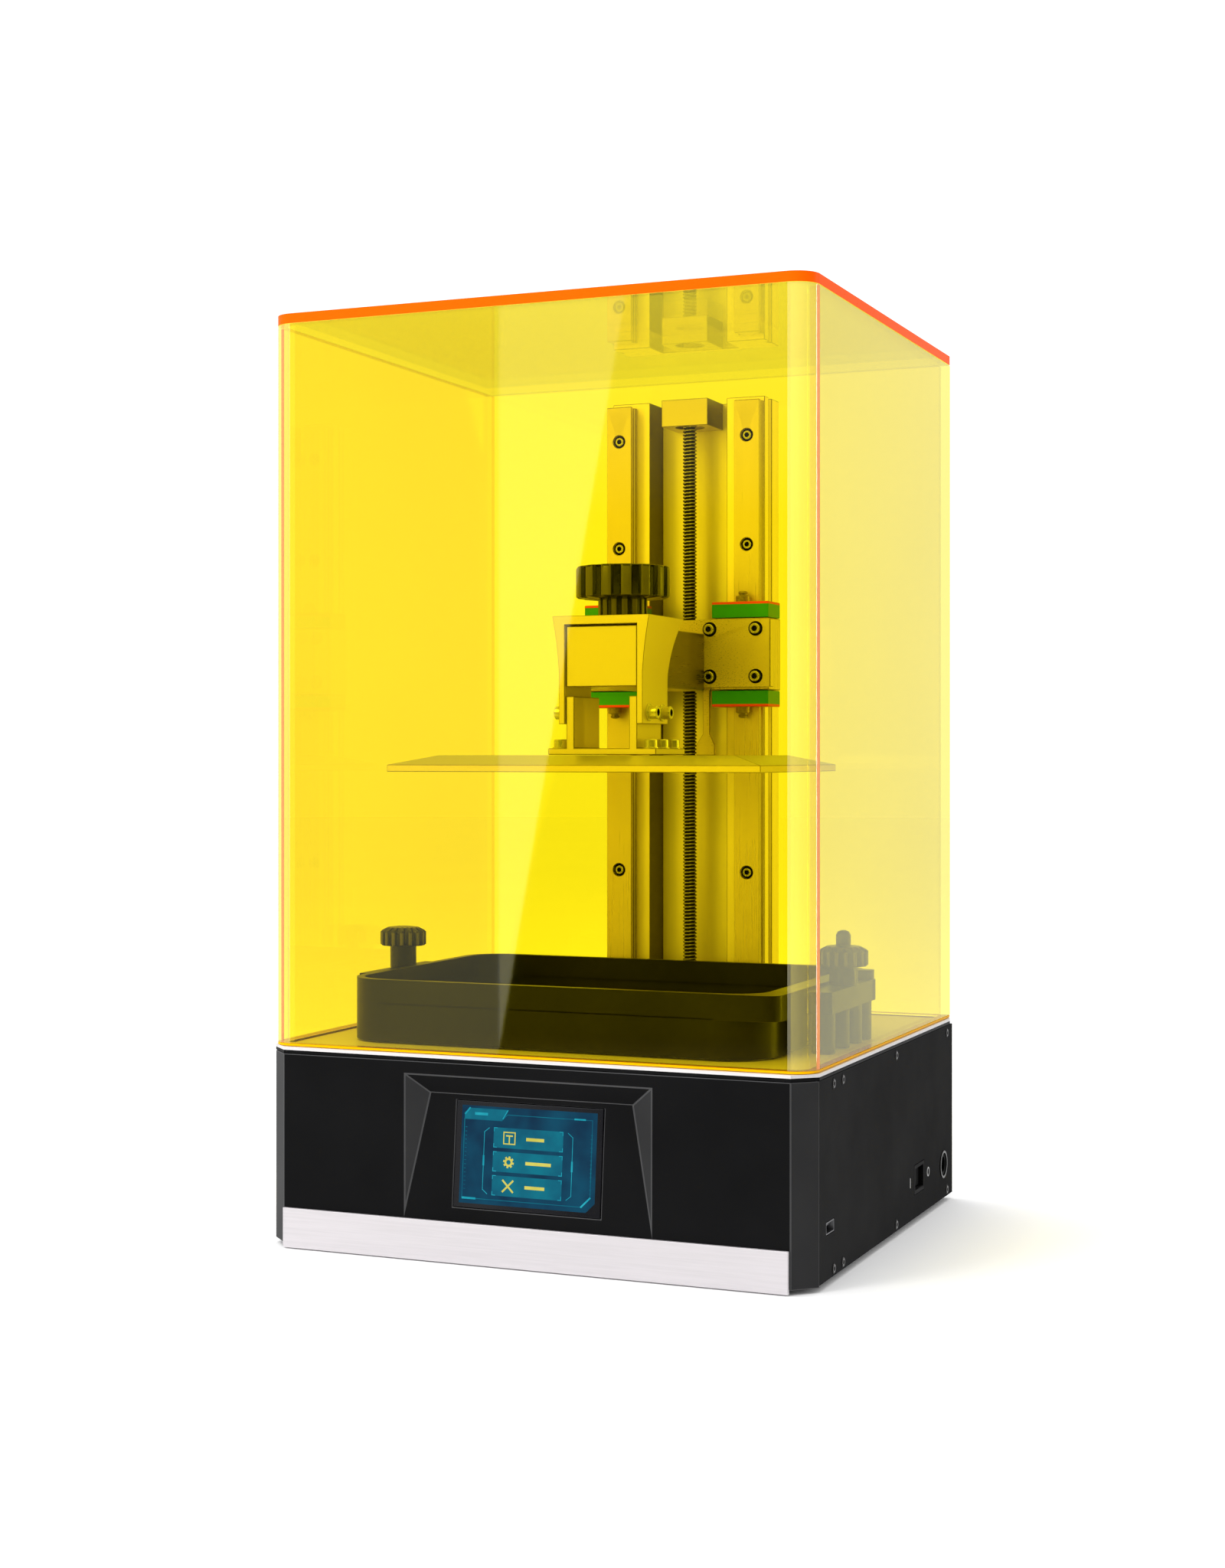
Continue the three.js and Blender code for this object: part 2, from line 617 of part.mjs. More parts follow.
function clampKnob() {
  const disc = slab(lobedCircle(26, 14, 3), [334, 351]);
  const stem = slab(lobedCircle(13.4, 8, 1.6), [YOKE_TOP + GAP, 335]);
  const screw = rodZ(4, [ARM_Z[1] + GAP, 325], 0, 0, 16);
  return join([disc, stem, screw]).translate(0, -4, 0);
}

function addPlatform() {
  add('platform_yoke', 'aluminium', yoke());
  add('foot_bracket', 'aluminium', footBracket());
  add('build_plate', 'aluminium', buildPlate());
  add('clamp_knob', 'satinBlack', clampKnob());
}

// ---- Vat ----
function vatOutline(inset, rightInset, rightCorner) {
  const r = VAT_CORNER - inset;
  return roundedRect(
    [-VAT_W / 2 + inset, VAT_W / 2 - inset - rightInset],
    [WORK_Y - VAT_D / 2 + inset, WORK_Y + VAT_D / 2 - inset],
    [r, rightCorner, r, r],
  );
}

// A bar along the vat's side under its thumbscrew, with a leg at each end and, on the right, a lug at the back.
function vatEar(side) {
  const x = onSide(side, [VAT_W / 2 - 2, EAR.reach]);
  const bar = span(x, [EAR.front, EAR.back], [VAT_BAND, EAR.top]);
  const lug = side > 0 ? [span(x, [EAR.back - EAR.lug, EAR.back], [VAT_BAND, EAR.lugTop])] : [];
  const legX = onSide(side, [VAT_W / 2 + 1.5, EAR.reach - 0.5]);
  const legs = [[EAR.front + 1, EAR.front + 1 + EAR.leg], [EAR.back - 1 - EAR.leg, EAR.back - 1]];
  return join([bar, ...lug, ...legs.map((y) => span(legX, y, [DECK_TOP + GAP, VAT_BAND + 1]))]);
}

function vatFrame() {
  const band = slab(vatOutline(0, 0, 8), [VAT_BAND, VAT_TOP], 8);
  const lower = slab(vatOutline(0, 7, 26), [VAT_BOTTOM, VAT_BAND + 1], 8);
  const cavity = slab(vatOutline(VAT_WALL, 7, VAT_CORNER - VAT_WALL), [VAT_BOTTOM + 4.4, VAT_TOP + 5], 8);
  const window = roundedRect([-107.3, 107.3], [WORK_Y - 75.3, WORK_Y + 75.3], [12, 12, 12, 12]);
  const knobHoles = SIDES.map(([side]) => rodZ(3.6, [90, 150], side * KNOB_X, WORK_Y, 16));
  return cut(join([band, lower, vatEar(-1), vatEar(1)]), [cavity, slab(window, [90, 120]), ...knobHoles]);
}

function filmRing() {
  const outer = roundedRect([-107, 107], [WORK_Y - 75, WORK_Y + 75], [12, 12, 12, 12]);
  const inner = roundedRect([-104.5, 104.5], [WORK_Y - 68, WORK_Y + 68], [6, 6, 6, 6]);
  const z = [VAT_BOTTOM, VAT_BOTTOM + 3];
  return cut(slab(outer, z), [slab(inner, [90, 120])]);
}

function vatFilm() {
  const outline = roundedRect([-107, 107], [WORK_Y - 75, WORK_Y + 75], [12, 12, 12, 12]);
  return slab(outline, [DECK_TOP + GAP, DECK_TOP + 2 * GAP]);
}

// The left thumbscrew is slackened by THUMB.slack, so its cap stands that much higher.
function vatKnob(side) {
  const lift = side < 0 ? THUMB.slack : 0;
  const cap = slab(lobedCircle(THUMB.r, THUMB.ribs, 1.6, 4), [THUMB.bottom, THUMB.side]);
  const crownHeight = THUMB.top - THUMB.side + 0.2;
  const crown = new THREE.CylinderGeometry(THUMB.r - 4.6, THUMB.r - 0.6, crownHeight, 24)
    .rotateX(Math.PI / 2)
    .translate(0, 0, THUMB.top - crownHeight / 2);
  const stem = rodZ(THUMB.stem, [EAR.top + GAP - lift, THUMB.bottom + 1]);
  const thread = rodZ(3, [95, EAR.top + 1 - lift], 0, 0, 16);
  const tip = side > 0 ? [rodZ(THUMB.rodR, [THUMB.top - 1, THUMB.rodTop], 0, 0, 16)] : [];
  return join([cap, crown, stem, thread, ...tip]).translate(side * KNOB_X, WORK_Y, lift);
}

function addVat() {
  add('vat_frame', 'anodised', vatFrame());
  add('film_ring', 'steel', filmRing());
  add('vat_film', 'film', vatFilm());
  SIDES.forEach(([side, name]) => add(`vat_knob_${name}`, 'satinBlack', vatKnob(side)));
}

// ---- Cover: five acrylic sheets bonded at their edges ----
function coverFront() {
  const [w, r] = [COVER_HALF_W, COVER_BEND];
  const t = COVER_WALL;
  const shape = new THREE.Shape();
  shape.moveTo(-w, COVER_SEAM_Y);
  shape.absarc(-w + r, COVER_FRONT + r, r, Math.PI, 1.5 * Math.PI, false);
  shape.absarc(w - r, COVER_FRONT + r, r, 1.5 * Math.PI, 2 * Math.PI, false);
  shape.lineTo(w - t, COVER_SEAM_Y);
  shape.absarc(w - r, COVER_FRONT + r, r - t, 0, -0.5 * Math.PI, true);
  shape.absarc(-w + r, COVER_FRONT + r, r - t, 1.5 * Math.PI, Math.PI, true);
  return slab(shape, coverWallZ(), 8);
}

function coverWallZ() {
  return [DECK_TOP + GAP, HEIGHT - COVER_WALL - GAP];
}

function coverTop() {
  const r = COVER_BEND;
  const outline = roundedRect([-COVER_HALF_W, COVER_HALF_W], [COVER_FRONT, COVER_BACK], [r, r, 1, 1]);
  return slab(outline, [HEIGHT - COVER_WALL, HEIGHT], 8);
}

function addCover() {
  add('cover_front', 'yellow', coverFront());
  SIDES.forEach(([side, name]) => {
    const x = onSide(side, [COVER_HALF_W - COVER_WALL, COVER_HALF_W]);
    add(`cover_side_${name}`, 'yellow', span(x, [COVER_SEAM_Y + GAP, COVER_BACK], coverWallZ()));
  });
  const rearX = COVER_HALF_W - COVER_WALL - GAP;
  add('cover_rear', 'yellow', span([-rearX, rearX], [COVER_BACK - COVER_WALL, COVER_BACK], coverWallZ()));
  add('cover_top', 'yellow', coverTop());
}

addHousing();
addInternals();
addSockets();
addColumn();
addCarriage();
addPlatform();
addVat();
addCover();

export default printer;
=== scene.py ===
# Looks of the desktop resin printer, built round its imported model. Metres, in the model's frame.
import json
import math

import bmesh
import bpy
from mathutils import Matrix, Vector


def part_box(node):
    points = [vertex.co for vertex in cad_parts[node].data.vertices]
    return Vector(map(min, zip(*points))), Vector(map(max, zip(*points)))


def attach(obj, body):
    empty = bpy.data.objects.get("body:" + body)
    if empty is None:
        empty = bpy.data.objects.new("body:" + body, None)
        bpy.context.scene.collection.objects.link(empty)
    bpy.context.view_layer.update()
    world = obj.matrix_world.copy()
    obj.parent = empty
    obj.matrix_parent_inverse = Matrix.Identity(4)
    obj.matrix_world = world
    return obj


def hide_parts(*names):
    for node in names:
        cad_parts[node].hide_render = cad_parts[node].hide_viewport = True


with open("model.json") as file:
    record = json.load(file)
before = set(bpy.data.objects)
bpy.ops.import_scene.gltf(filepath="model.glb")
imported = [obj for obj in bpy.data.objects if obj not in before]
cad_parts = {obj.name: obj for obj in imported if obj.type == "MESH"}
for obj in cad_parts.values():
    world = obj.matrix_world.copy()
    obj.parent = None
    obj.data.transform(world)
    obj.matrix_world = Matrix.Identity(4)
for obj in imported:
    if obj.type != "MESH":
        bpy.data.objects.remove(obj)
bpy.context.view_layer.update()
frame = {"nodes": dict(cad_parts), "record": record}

BODIES = frame["record"]["behaviour"]["bodies"]
SIDES = ((-1, "left"), (1, "right"))
MM = 0.001
TAU = 2 * math.pi

# The photograph's camera: level, to the right of the front.
CAMERA_PLACE = Vector((0.4641, -1.1786, 0.2511))
CAMERA_YAW = math.radians(23.67)
CAMERA_LENS = 54.109
CAMERA_SHIFT = (0.0488, -0.0196)

# Light from all round, and what polished surfaces mirror instead of it.
WORLD_LIGHT = 1.2
SIDE_SHADE = 0.5                 # how much less light comes from the right than from the middle
WALL_EDGE = -0.12                # the white wall behind is mirrored up to this far forwards
OVERHEAD_START = 0.10            # the mirrored ceiling starts this far above level
OVERHEAD_RISE = 9.0              # how fast it brightens upwards
GROUND_START = 0.12              # the mirrored ground starts this far below level
GROUND_RISE = 7.0
GROUND_LIGHT = 0.9
WINDOW_LIGHT = 0.7
WINDOW_BRIGHT = 1.9              # the window's light on the right of its post
# Two slanting lines on the front sheet, as shares of its width at its top and at its bottom.
WINDOW_EDGE = (0.77, 0.415)
WINDOW_POST = (0.418, 0.418)

THREAD_PITCH = 2 * MM            # one right-handed thread, as the photograph shows it
THREAD_DEPTH = 0.9 * MM
RAIL_SCREW_PITCH = 61.8 * MM
SEAL_THICK = 1.4 * MM
DECK_LIP = 0.5                   # share of the deck's edge that is painted
SILL_HIGH = 1.1 * MM
VAT_HALF = 118 * MM              # half the vat's width without its ears
VAT_RIM = 31.9 * MM              # the vat's height
VAT_BAND = 0.55                  # share of the height to the lug's top where the upper band starts
VAT_EAR_FRONT = -56 * MM
VAT_EAR_BACK = 23 * MM


# ---- node materials
class Nodes:
    """Short calls for building the node tree of a material or of the world."""

    def __init__(self, owner):
        owner.use_nodes = True
        self.owner = owner
        self.tree = owner.node_tree
        self.shader = self.tree.nodes.get("Principled BSDF")

    def add(self, kind, settings=None, **inputs):
        node = self.tree.nodes.new("ShaderNode" + kind)
        for key, value in (settings or {}).items():
            setattr(node, key, value)
        self.fill(node, inputs)
        return node

    def fill(self, node, inputs):
        for key, value in inputs.items():
            self.put(node.inputs[key.replace("_", " ")], value)

    def look(self, **inputs):
        """Sets inputs of the material's shader."""
        self.fill(self.shader, inputs)

    def put(self, socket, value):
        if isinstance(value, bpy.types.NodeSocket):
            self.tree.links.new(value, socket)
        else:
            socket.default_value = value

    def coords(self, scale=(1, 1, 1)):
        source = self.add("TexCoord")
        mapping = self.add("Mapping", Scale=scale)
        self.put(mapping.inputs["Vector"], source.outputs["Object"])
        return mapping.outputs["Vector"]

    def noise(self, scale, detail=4.0, stretch=(1, 1, 1), roughness=0.55):
        node = self.add("TexNoise", Scale=scale, Detail=detail, Roughness=roughness)
        self.put(node.inputs["Vector"], self.coords(stretch))
        return node.outputs["Fac"]

    def spread(self, value, low, high, start=0.3, end=0.7):
        node = self.add("MapRange")
        self.put(node.inputs["Value"], value)
        for key, number in (("From Min", start), ("From Max", end), ("To Min", low), ("To Max", high)):
            node.inputs[key].default_value = number
        return node.outputs["Result"]

    def ramp(self, value, low, high, start=0.3, end=0.7):
        node = self.add("ValToRGB")
        self.put(node.inputs["Fac"], value)
        for element, place, colour in zip(node.color_ramp.elements, (start, end), (low, high)):
            element.position = place
            element.color = (*colour, 1)
        return node.outputs["Color"]

    def maths(self, operation, first, second):
        node = self.add("Math", {"operation": operation})
        self.put(node.inputs[0], first)
        self.put(node.inputs[1], second)
        return node.outputs["Value"]

    def bump(self, height, strength, distance=0.1 * MM):
        node = self.add("Bump", Strength=strength, Distance=distance, Height=height)
        self.look(Normal=node.outputs["Normal"])

    def mix(self, share, first, second):
        """A mix of two shaders, which becomes the material's surface."""
        node = self.add("MixShader")
        for socket, value in zip(node.inputs, (share, first.outputs[0], second.outputs[0])):
            self.put(socket, value)
        self.put(self.tree.nodes["Material Output"].inputs["Surface"], node.outputs[0])
        return node


def new_material(name):
    return Nodes(bpy.data.materials.new(name))


def scaled(colour, factor):
    return tuple(min(1.0, channel * factor) for channel in colour)


def moulded(name, colour, rough, grain=900, specular=0.5, bump=0.25):
    """Paint, powder coat or moulded plastic: fine grain, and patches a little glossier than others."""
    n = new_material(name)
    fine = n.noise(grain, 3)
    broad = n.noise(18, 3)
    n.look(
        Base_Color=n.ramp(broad, scaled(colour, 0.85), scaled(colour, 1.15)),
        Roughness=n.spread(broad, rough - 0.05, rough + 0.05),
        Specular_IOR_Level=specular,
    )
    n.bump(fine, bump, 0.05 * MM)
    return n.owner


def metal(name, colour, rough, stretch=(1, 1, 1), scale=1600, bump=0.08, contrast=0.06, metallic=0.7):
    """Bare metal. stretch draws the noise out into brush lines: small along the lines, large across."""
    n = new_material(name)
    lines = n.noise(scale, 4, stretch, 0.6)
    broad = n.noise(9, 2)
    n.look(
        Base_Color=n.ramp(lines, scaled(colour, 1 - contrast), scaled(colour, 1 + contrast)),
        Roughness=n.maths(
            "ADD", n.spread(lines, -0.04, 0.04), n.spread(broad, rough - 0.03, rough + 0.04),
        ),
        Metallic=metallic,
    )
    n.bump(lines, bump, 0.01 * MM)
    return n.owner


def acrylic(name, tint, gloss=0.02, haze=0.0):
    """A clear tinted sheet: each face tints what passes and mirrors more at a glancing angle.

    haze is the share of light that a bent or scuffed sheet scatters.
    """
    n = new_material(name)
    n.tree.nodes.remove(n.shader)
    clear = n.add("BsdfTransparent", Color=n.ramp(n.noise(6, 2), scaled(tint, 0.985), tint))
    shine = n.add("BsdfGlossy", Roughness=gloss)
    facing = n.add("LayerWeight", Blend=0.5).outputs["Facing"]
    share = n.maths("ADD", n.maths("MULTIPLY", n.maths("POWER", facing, 5.0), 0.96), 0.04)
    sheet = n.mix(share, clear, shine)
    if haze:
        milky = n.add("BsdfDiffuse", Color=(1.0, 0.93, 0.62, 1))
        n.mix(haze, sheet, milky)
    return n.owner


def painted_glow_edge(name, colour, glow, tint):
    """The sawn edge of a fluorescent sheet: its outward glow is painted light, and it is only tinted seen
    from inside.
    """
    n = new_material(name)
    saw = n.noise(300, 3, (1, 1, 6))
    tone = n.ramp(saw, scaled(colour, 0.9), colour)
    n.look(
        Base_Color=tone,
        Emission_Color=tone,
        Roughness=n.spread(saw, 0.25, 0.4),
        Emission_Strength=glow,
        Specular_IOR_Level=0.02,
    )
    n.bump(saw, 0.1)
    clear = n.add("BsdfTransparent", Color=(*tint, 1))
    n.mix(n.add("NewGeometry").outputs["Backfacing"], n.shader, clear)
    return n.owner


def lit(name, low, high, strength, scale=120):
    """A lit patch of the display: its brightness varies a little over the surface."""
    n = new_material(name)
    n.look(
        Base_Color=(0.004, 0.005, 0.006, 1),
        Emission_Color=n.ramp(n.noise(scale, 2), low, high),
        Emission_Strength=strength,
        Specular_IOR_Level=0.0,
        Roughness=0.2,
    )
    return n.owner


def circuit_board(name):
    """Green board with paler gaps between cells, as between its tracks."""
    n = new_material(name)
    cells = n.add("TexVoronoi", {"feature": "DISTANCE_TO_EDGE"}, Scale=140.0, Vector=n.coords())
    tracks = n.ramp(cells.outputs["Distance"], (0.05, 0.3, 0.1), (0.008, 0.09, 0.03), 0.03, 0.09)
    n.look(Base_Color=tracks, Roughness=0.35)
    n.bump(cells.outputs["Distance"], 0.2)
    return n.owner


def floor_material():
    n = new_material("pale_floor")
    tone = n.ramp(n.noise(3, 2), (0.965, 0.965, 0.965), (0.985, 0.985, 0.985))
    n.look(Base_Color=tone, Roughness=0.9, Specular_IOR_Level=0.0)
    return n.owner


# The looks, by the short names that the pieces use.
M = {
    "paint": moulded("housing_paint", (0.0036, 0.0036, 0.0038), 0.45, specular=0.04, bump=0.1),
    # a lighter copy of the housing paint for the recess slopes and cut corners: painted highlight
    "paint_facet_highlight": moulded("housing_paint_facet", (0.016, 0.016, 0.0165), 0.42, specular=0.08, bump=0.1),
    # a lighter copy of the housing paint for the front frame's rounded edges: painted highlight
    "paint_edge_highlight": moulded("housing_paint_edge", (0.03, 0.03, 0.031), 0.4, specular=0.25),
    # a lighter, matt copy of the housing paint for the side and rear panels: painted light
    "paint_side_light": moulded("housing_paint_side", (0.021, 0.021, 0.0213), 0.6, specular=0.0, bump=0.1),
    "plastic": moulded("black_plastic", (0.006, 0.006, 0.006), 0.25, 600, bump=0.1),
    "gloss": moulded("gloss_black", (0.004, 0.004, 0.005), 0.12, 200, specular=0.2, bump=0.02),
    "matt": moulded("matt_black", (0.003, 0.003, 0.003), 0.6, 600, specular=0.04, bump=0.1),
    # paler plastic on the knobs' rib crests: painted highlight
    "highlight": moulded("highlight_plastic", (0.062, 0.056, 0.05), 0.3, 600, bump=0.1),
    "rubber": moulded("rubber", (0.02, 0.02, 0.02), 0.85, 1500, bump=0.6),
    "green": moulded("green_cap", (0.012, 0.24, 0.03), 0.38, 500),
    "red": moulded("red_seal", (0.62, 0.04, 0.006), 0.45, 500),
    "anodised": moulded("black_anodised", (0.008, 0.0075, 0.007), 0.34, 900, specular=0.35, bump=0.004),
    # paler metal on the vat's rounded edges: painted highlight
    "rim": metal("highlight_rim", (0.22, 0.215, 0.21), 0.35),
    "ink": moulded("pale_ink", (0.34, 0.34, 0.34), 0.5, 900),
    "deck": metal("deck_aluminium", (0.74, 0.66, 0.53), 0.40, scale=2400, metallic=0.2),
    # a darker metal for the deck's upright edge: painted shade
    "deck_edge_shade": metal("deck_edge_shade", (0.52, 0.50, 0.50), 0.35, (0.02, 1, 1), 1500, metallic=0.3),
    "strip": metal("brushed_strip", (0.50, 0.475, 0.49), 0.36, (0.02, 1, 1), 1500, 0.12, 0.05, 0.4),
    "extrusion": metal("extruded_aluminium", (0.98, 0.85, 0.76), 0.33, (1, 1, 0.02), 900, 0.01, 0.03, 0.5),
    "machined": metal("machined_aluminium", (0.66, 0.56, 0.48), 0.33, (1, 1, 1), 2500, 0.03, 0.04, 0.45),
    # darker brushed metal for the build plate's top and slopes: a brushed finish, and painted shade
    "plate": metal("build_plate_aluminium", (0.52, 0.50, 0.49), 0.36, (0.05, 1, 1), 1500, 0.1, 0.05),
    "ground": metal("ground_steel", (0.68, 0.565, 0.49), 0.30, (1, 1, 0.02), 900, 0.01, 0.02, 0.4),
    "carriage": metal("carriage_steel", (0.70, 0.585, 0.47), 0.30, (0.3, 1, 1), 2500, 0.04, 0.03, 0.55),
    # darker brown metal: painted shade on the rounded edges of the column, rails, carriage and platform;
    # the grease nipples are made of it
    "brown_metal_and_edge_shade": metal("brown_metal_and_painted_edge_shade", (0.30, 0.24, 0.18), 0.4, scale=900, contrast=0.3),
    # dark metal for the column channel's walls: painted shade
    "channel": metal("channel_wall_shade", (0.10, 0.085, 0.06), 0.4, (1, 1, 0.02), 900, 0.01, 0.1, 0.4),
    # darker brushed metal for the side faces of the bearing block and the lift arm: painted shade
    "arm": metal("brushed_arm_side_shade", (0.19, 0.155, 0.115), 0.3, (1, 0.03, 1), 1200, 0.06, 0.04, 0.8),
    "bolt": metal("bolt_steel", (0.62, 0.60, 0.58), 0.22, scale=2500, metallic=0.75),
    "root": moulded("thread_root", (0.006, 0.005, 0.004), 0.4, 900, specular=0.3, bump=0.02),
    # paler metal on the thread's crests: painted highlight
    "crest": metal("thread_crest_highlight", (0.32, 0.295, 0.26), 0.2, scale=2500, metallic=0.15),
    "dark_steel": metal("oiled_steel", (0.035, 0.034, 0.033), 0.25, scale=2500, metallic=0.9),
    "socket": metal("port_shell", (0.13, 0.13, 0.135), 0.3, scale=2500, metallic=0.9),
    "brass": metal("brass", (0.68, 0.50, 0.20), 0.25, scale=2000, metallic=0.9),
    "board": circuit_board("circuit_board"),
    "film": acrylic("clear_film", (0.97, 0.98, 0.98), 0.05),
    "screen": moulded("masking_glass", (0.01, 0.012, 0.018), 0.06, 60, bump=0.0),
    "acrylic": acrylic("yellow_acrylic", (1.0, 0.948, 0.29)),
    # the left sheet's deeper tint: painted shade, for its longer path seen at a glancing angle
    "acrylic_left_shade": acrylic("yellow_acrylic_left", (1.0, 0.895, 0.25)),
    "bend": acrylic("yellow_acrylic_bend", (1.0, 0.948, 0.29), haze=0.08),
    # the cover top's edge, the rear seams and the sill glow: painted light
    "edge": painted_glow_edge("orange_edge", (0.9, 0.075, 0.0), 0.15, (1.0, 0.948, 0.29)),
    "seam": painted_glow_edge("orange_seam", (0.50, 0.16, 0.02), 0.04, (1.0, 0.9, 0.30)),
    "sill": painted_glow_edge("amber_sill", (0.62, 0.30, 0.0), 0.08, (1.0, 0.962, 0.30)),
    "picture": lit("display_background", (0.0, 0.024, 0.062), (0.0, 0.062, 0.12), 1.0, 60),
    "tile": lit("display_tile", (0.0, 0.10, 0.17), (0.0, 0.17, 0.24), 1.0, 90),
    "line": lit("display_line", (0.0, 0.26, 0.36), (0.02, 0.42, 0.52), 1.0),
    "glyph": lit("display_glyph", (0.62, 0.56, 0.08), (0.75, 0.68, 0.13), 1.0),
}


# ---- mesh helpers
def piece(name, bm, body, *materials, replaces=(), smooth=35, round_edges=None, edge_angle=None):
    """An object from bm, riding on body.

    round_edges is (width in metres, segments, index of the rounded edges' material if they have one).
    """
    bmesh.ops.recalc_face_normals(bm, faces=bm.faces)
    mesh = bpy.data.meshes.new(name)
    bm.to_mesh(mesh)
    bm.free()
    ob = bpy.data.objects.new(name, mesh)
    bpy.context.scene.collection.objects.link(ob)
    for material in materials:
        mesh.materials.append(M[material])
    mesh.polygons.foreach_set("use_smooth", [True] * len(mesh.polygons))
    mesh.set_sharp_from_angle(angle=math.radians(smooth))
    if round_edges:
        width, segments, index = (*round_edges, 0)[:3]
        bevel = ob.modifiers.new("rounded", "BEVEL")
        bevel.width = width
        bevel.segments = segments
        bevel.limit_method = "ANGLE"
        bevel.angle_limit = math.radians(edge_angle or smooth)
        bevel.harden_normals = True
        bevel.material = index or -1
    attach(ob, body)
    if replaces:
        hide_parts(*replaces)
    return ob


def body_of(node):
    return next(body for body, nodes in BODIES.items() if node in nodes)


def node_mesh(node):
    """The node's own shape with its coplanar triangles joined."""
    bm = bmesh.new()
    bm.from_mesh(frame["nodes"][node].data)
    bmesh.ops.remove_doubles(bm, verts=bm.verts, dist=1e-6)
    bmesh.ops.dissolve_limit(bm, angle_limit=math.radians(0.5), verts=bm.verts, edges=bm.edges)
    bm.normal_update()
    return bm


def refined(node, *materials, width=0.4 * MM, segments=2, edge_angle=None, paint=None):
    """The node's own shape with its edges rounded, in the second material if there is one.

    paint gives a face its material index.
    """
    bm = node_mesh(node)
    if paint:
        for face in bm.faces:
            face.material_index = paint(face)
    return piece(
        f"{node}_shape", bm, body_of(node), *materials,
        replaces=(node,), round_edges=(width, segments, min(1, len(materials) - 1)),
        edge_angle=edge_angle,
    )


def span(node):
    """The near and far corners of the node's box."""
    low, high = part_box(node)
    return Vector(low), Vector(high)


def mid(node):
    low, high = span(node)
    return (low + high) / 2


def arc(cx, cy, radius, start, end, steps=10):
    """Points on an arc, angles in degrees."""
    angles = [math.radians(start + (end - start) * i / steps) for i in range(steps + 1)]
    return [(cx + radius * math.cos(a), cy + radius * math.sin(a)) for a in angles]


def rounded(x0, x1, y0, y1, corners, steps=10):
    """A rectangle's outline with its own radius at front left, front right, back right, back left."""
    fl, fr, br, bl = corners
    return (
        arc(x0 + fl, y0 + fl, fl, 180, 270, steps)
        + arc(x1 - fr, y0 + fr, fr, 270, 360, steps)
        + arc(x1 - br, y1 - br, br, 0, 90, steps)
        + arc(x0 + bl, y1 - bl, bl, 90, 180, steps)
    )


def add_rings(bm, rings, close=True):
    """Joins rings of equal length into a skin, and caps the first and last."""
    made = [[bm.verts.new(point) for point in ring] for ring in rings]
    count = len(made[0])
    for lower, upper in zip(made, made[1:]):
        for i in range(count):
            j = (i + 1) % count
            bm.faces.new((lower[i], lower[j], upper[j], upper[i]))
    if close:
        bm.faces.new(made[0][::-1])
        bm.faces.new(made[-1])
    return made


def add_prism(bm, outline, z0, z1):
    add_rings(bm, [[(x, y, z) for x, y in outline] for z in (z0, z1)])


def add_tube(bm, outer, inner, z0, z1):
    """A wall between two outlines of equal length."""
    rings = [(outer, z0), (outer, z1), (inner, z1), (inner, z0), (outer, z0)]
    made = add_rings(bm, [[(x, y, z) for x, y in ring] for ring, z in rings], close=False)
    bmesh.ops.remove_doubles(bm, verts=made[0] + made[-1], dist=1e-7)


def add_box(bm, low, high):
    (x0, y0, z0), (x1, y1, z1) = low, high
    add_prism(bm, [(x0, y0), (x1, y0), (x1, y1), (x0, y1)], z0, z1)


def circle(radius, steps, cx=0.0, cy=0.0):
    angles = [TAU * i / steps for i in range(steps)]
    return [(cx + radius * math.cos(a), cy + radius * math.sin(a)) for a in angles]


def hexagon_share(angle):
    """A hexagon's radius at this angle, as a share of its corner radius."""
    sixth = TAU / 6
    return math.cos(sixth / 2) / math.cos(angle % sixth - sixth / 2)


def add_turned(bm, profile, steps=32, shape=lambda index, angle: 1.0):
    """A turned solid about Z.

    profile is (radius, height) from axis to axis. shape scales the radius of a ring at an angle.
    """
    rings = []
    angles = [TAU * i / steps for i in range(steps)]
    for index, (radius, height) in enumerate(profile[1:-1]):
        radii = [radius * shape(index, a) for a in angles]
        rings.append([(r * math.cos(a), r * math.sin(a), height) for r, a in zip(radii, angles)])
    add_rings(bm, rings)


def add_pin(bm, radius, z0, z1, steps):
    add_turned(bm, [(0, z0), (radius, z0), (radius, z1), (0, z1)], steps)


def cut_across(bm, z):
    """Cuts the faces at a height, so that they can have another material above it."""
    everything = bm.verts[:] + bm.edges[:] + bm.faces[:]
    bmesh.ops.bisect_plane(bm, geom=everything, plane_co=(0, 0, z), plane_no=(0, 0, 1))


def paint_faces(bm, index, chosen):
    """Gives a material index to the faces that chosen(normal, centre) picks."""
    bmesh.ops.recalc_face_normals(bm, faces=bm.faces)
    for face in bm.faces:
        if chosen(face.normal, face.calc_center_median()):
            face.material_index = index


def placed(bm, start, matrix):
    """Moves the verts made since start."""
    bm.verts.ensure_lookup_table()
    bmesh.ops.transform(bm, matrix=matrix, verts=bm.verts[start:])


def aim(place, direction):
    """A matrix that puts a shape made about +Z at place, pointing along direction."""
    turn = Vector((0, 0, 1)).rotation_difference(Vector(direction)).to_matrix().to_4x4()
    return Matrix.Translation(place) @ turn


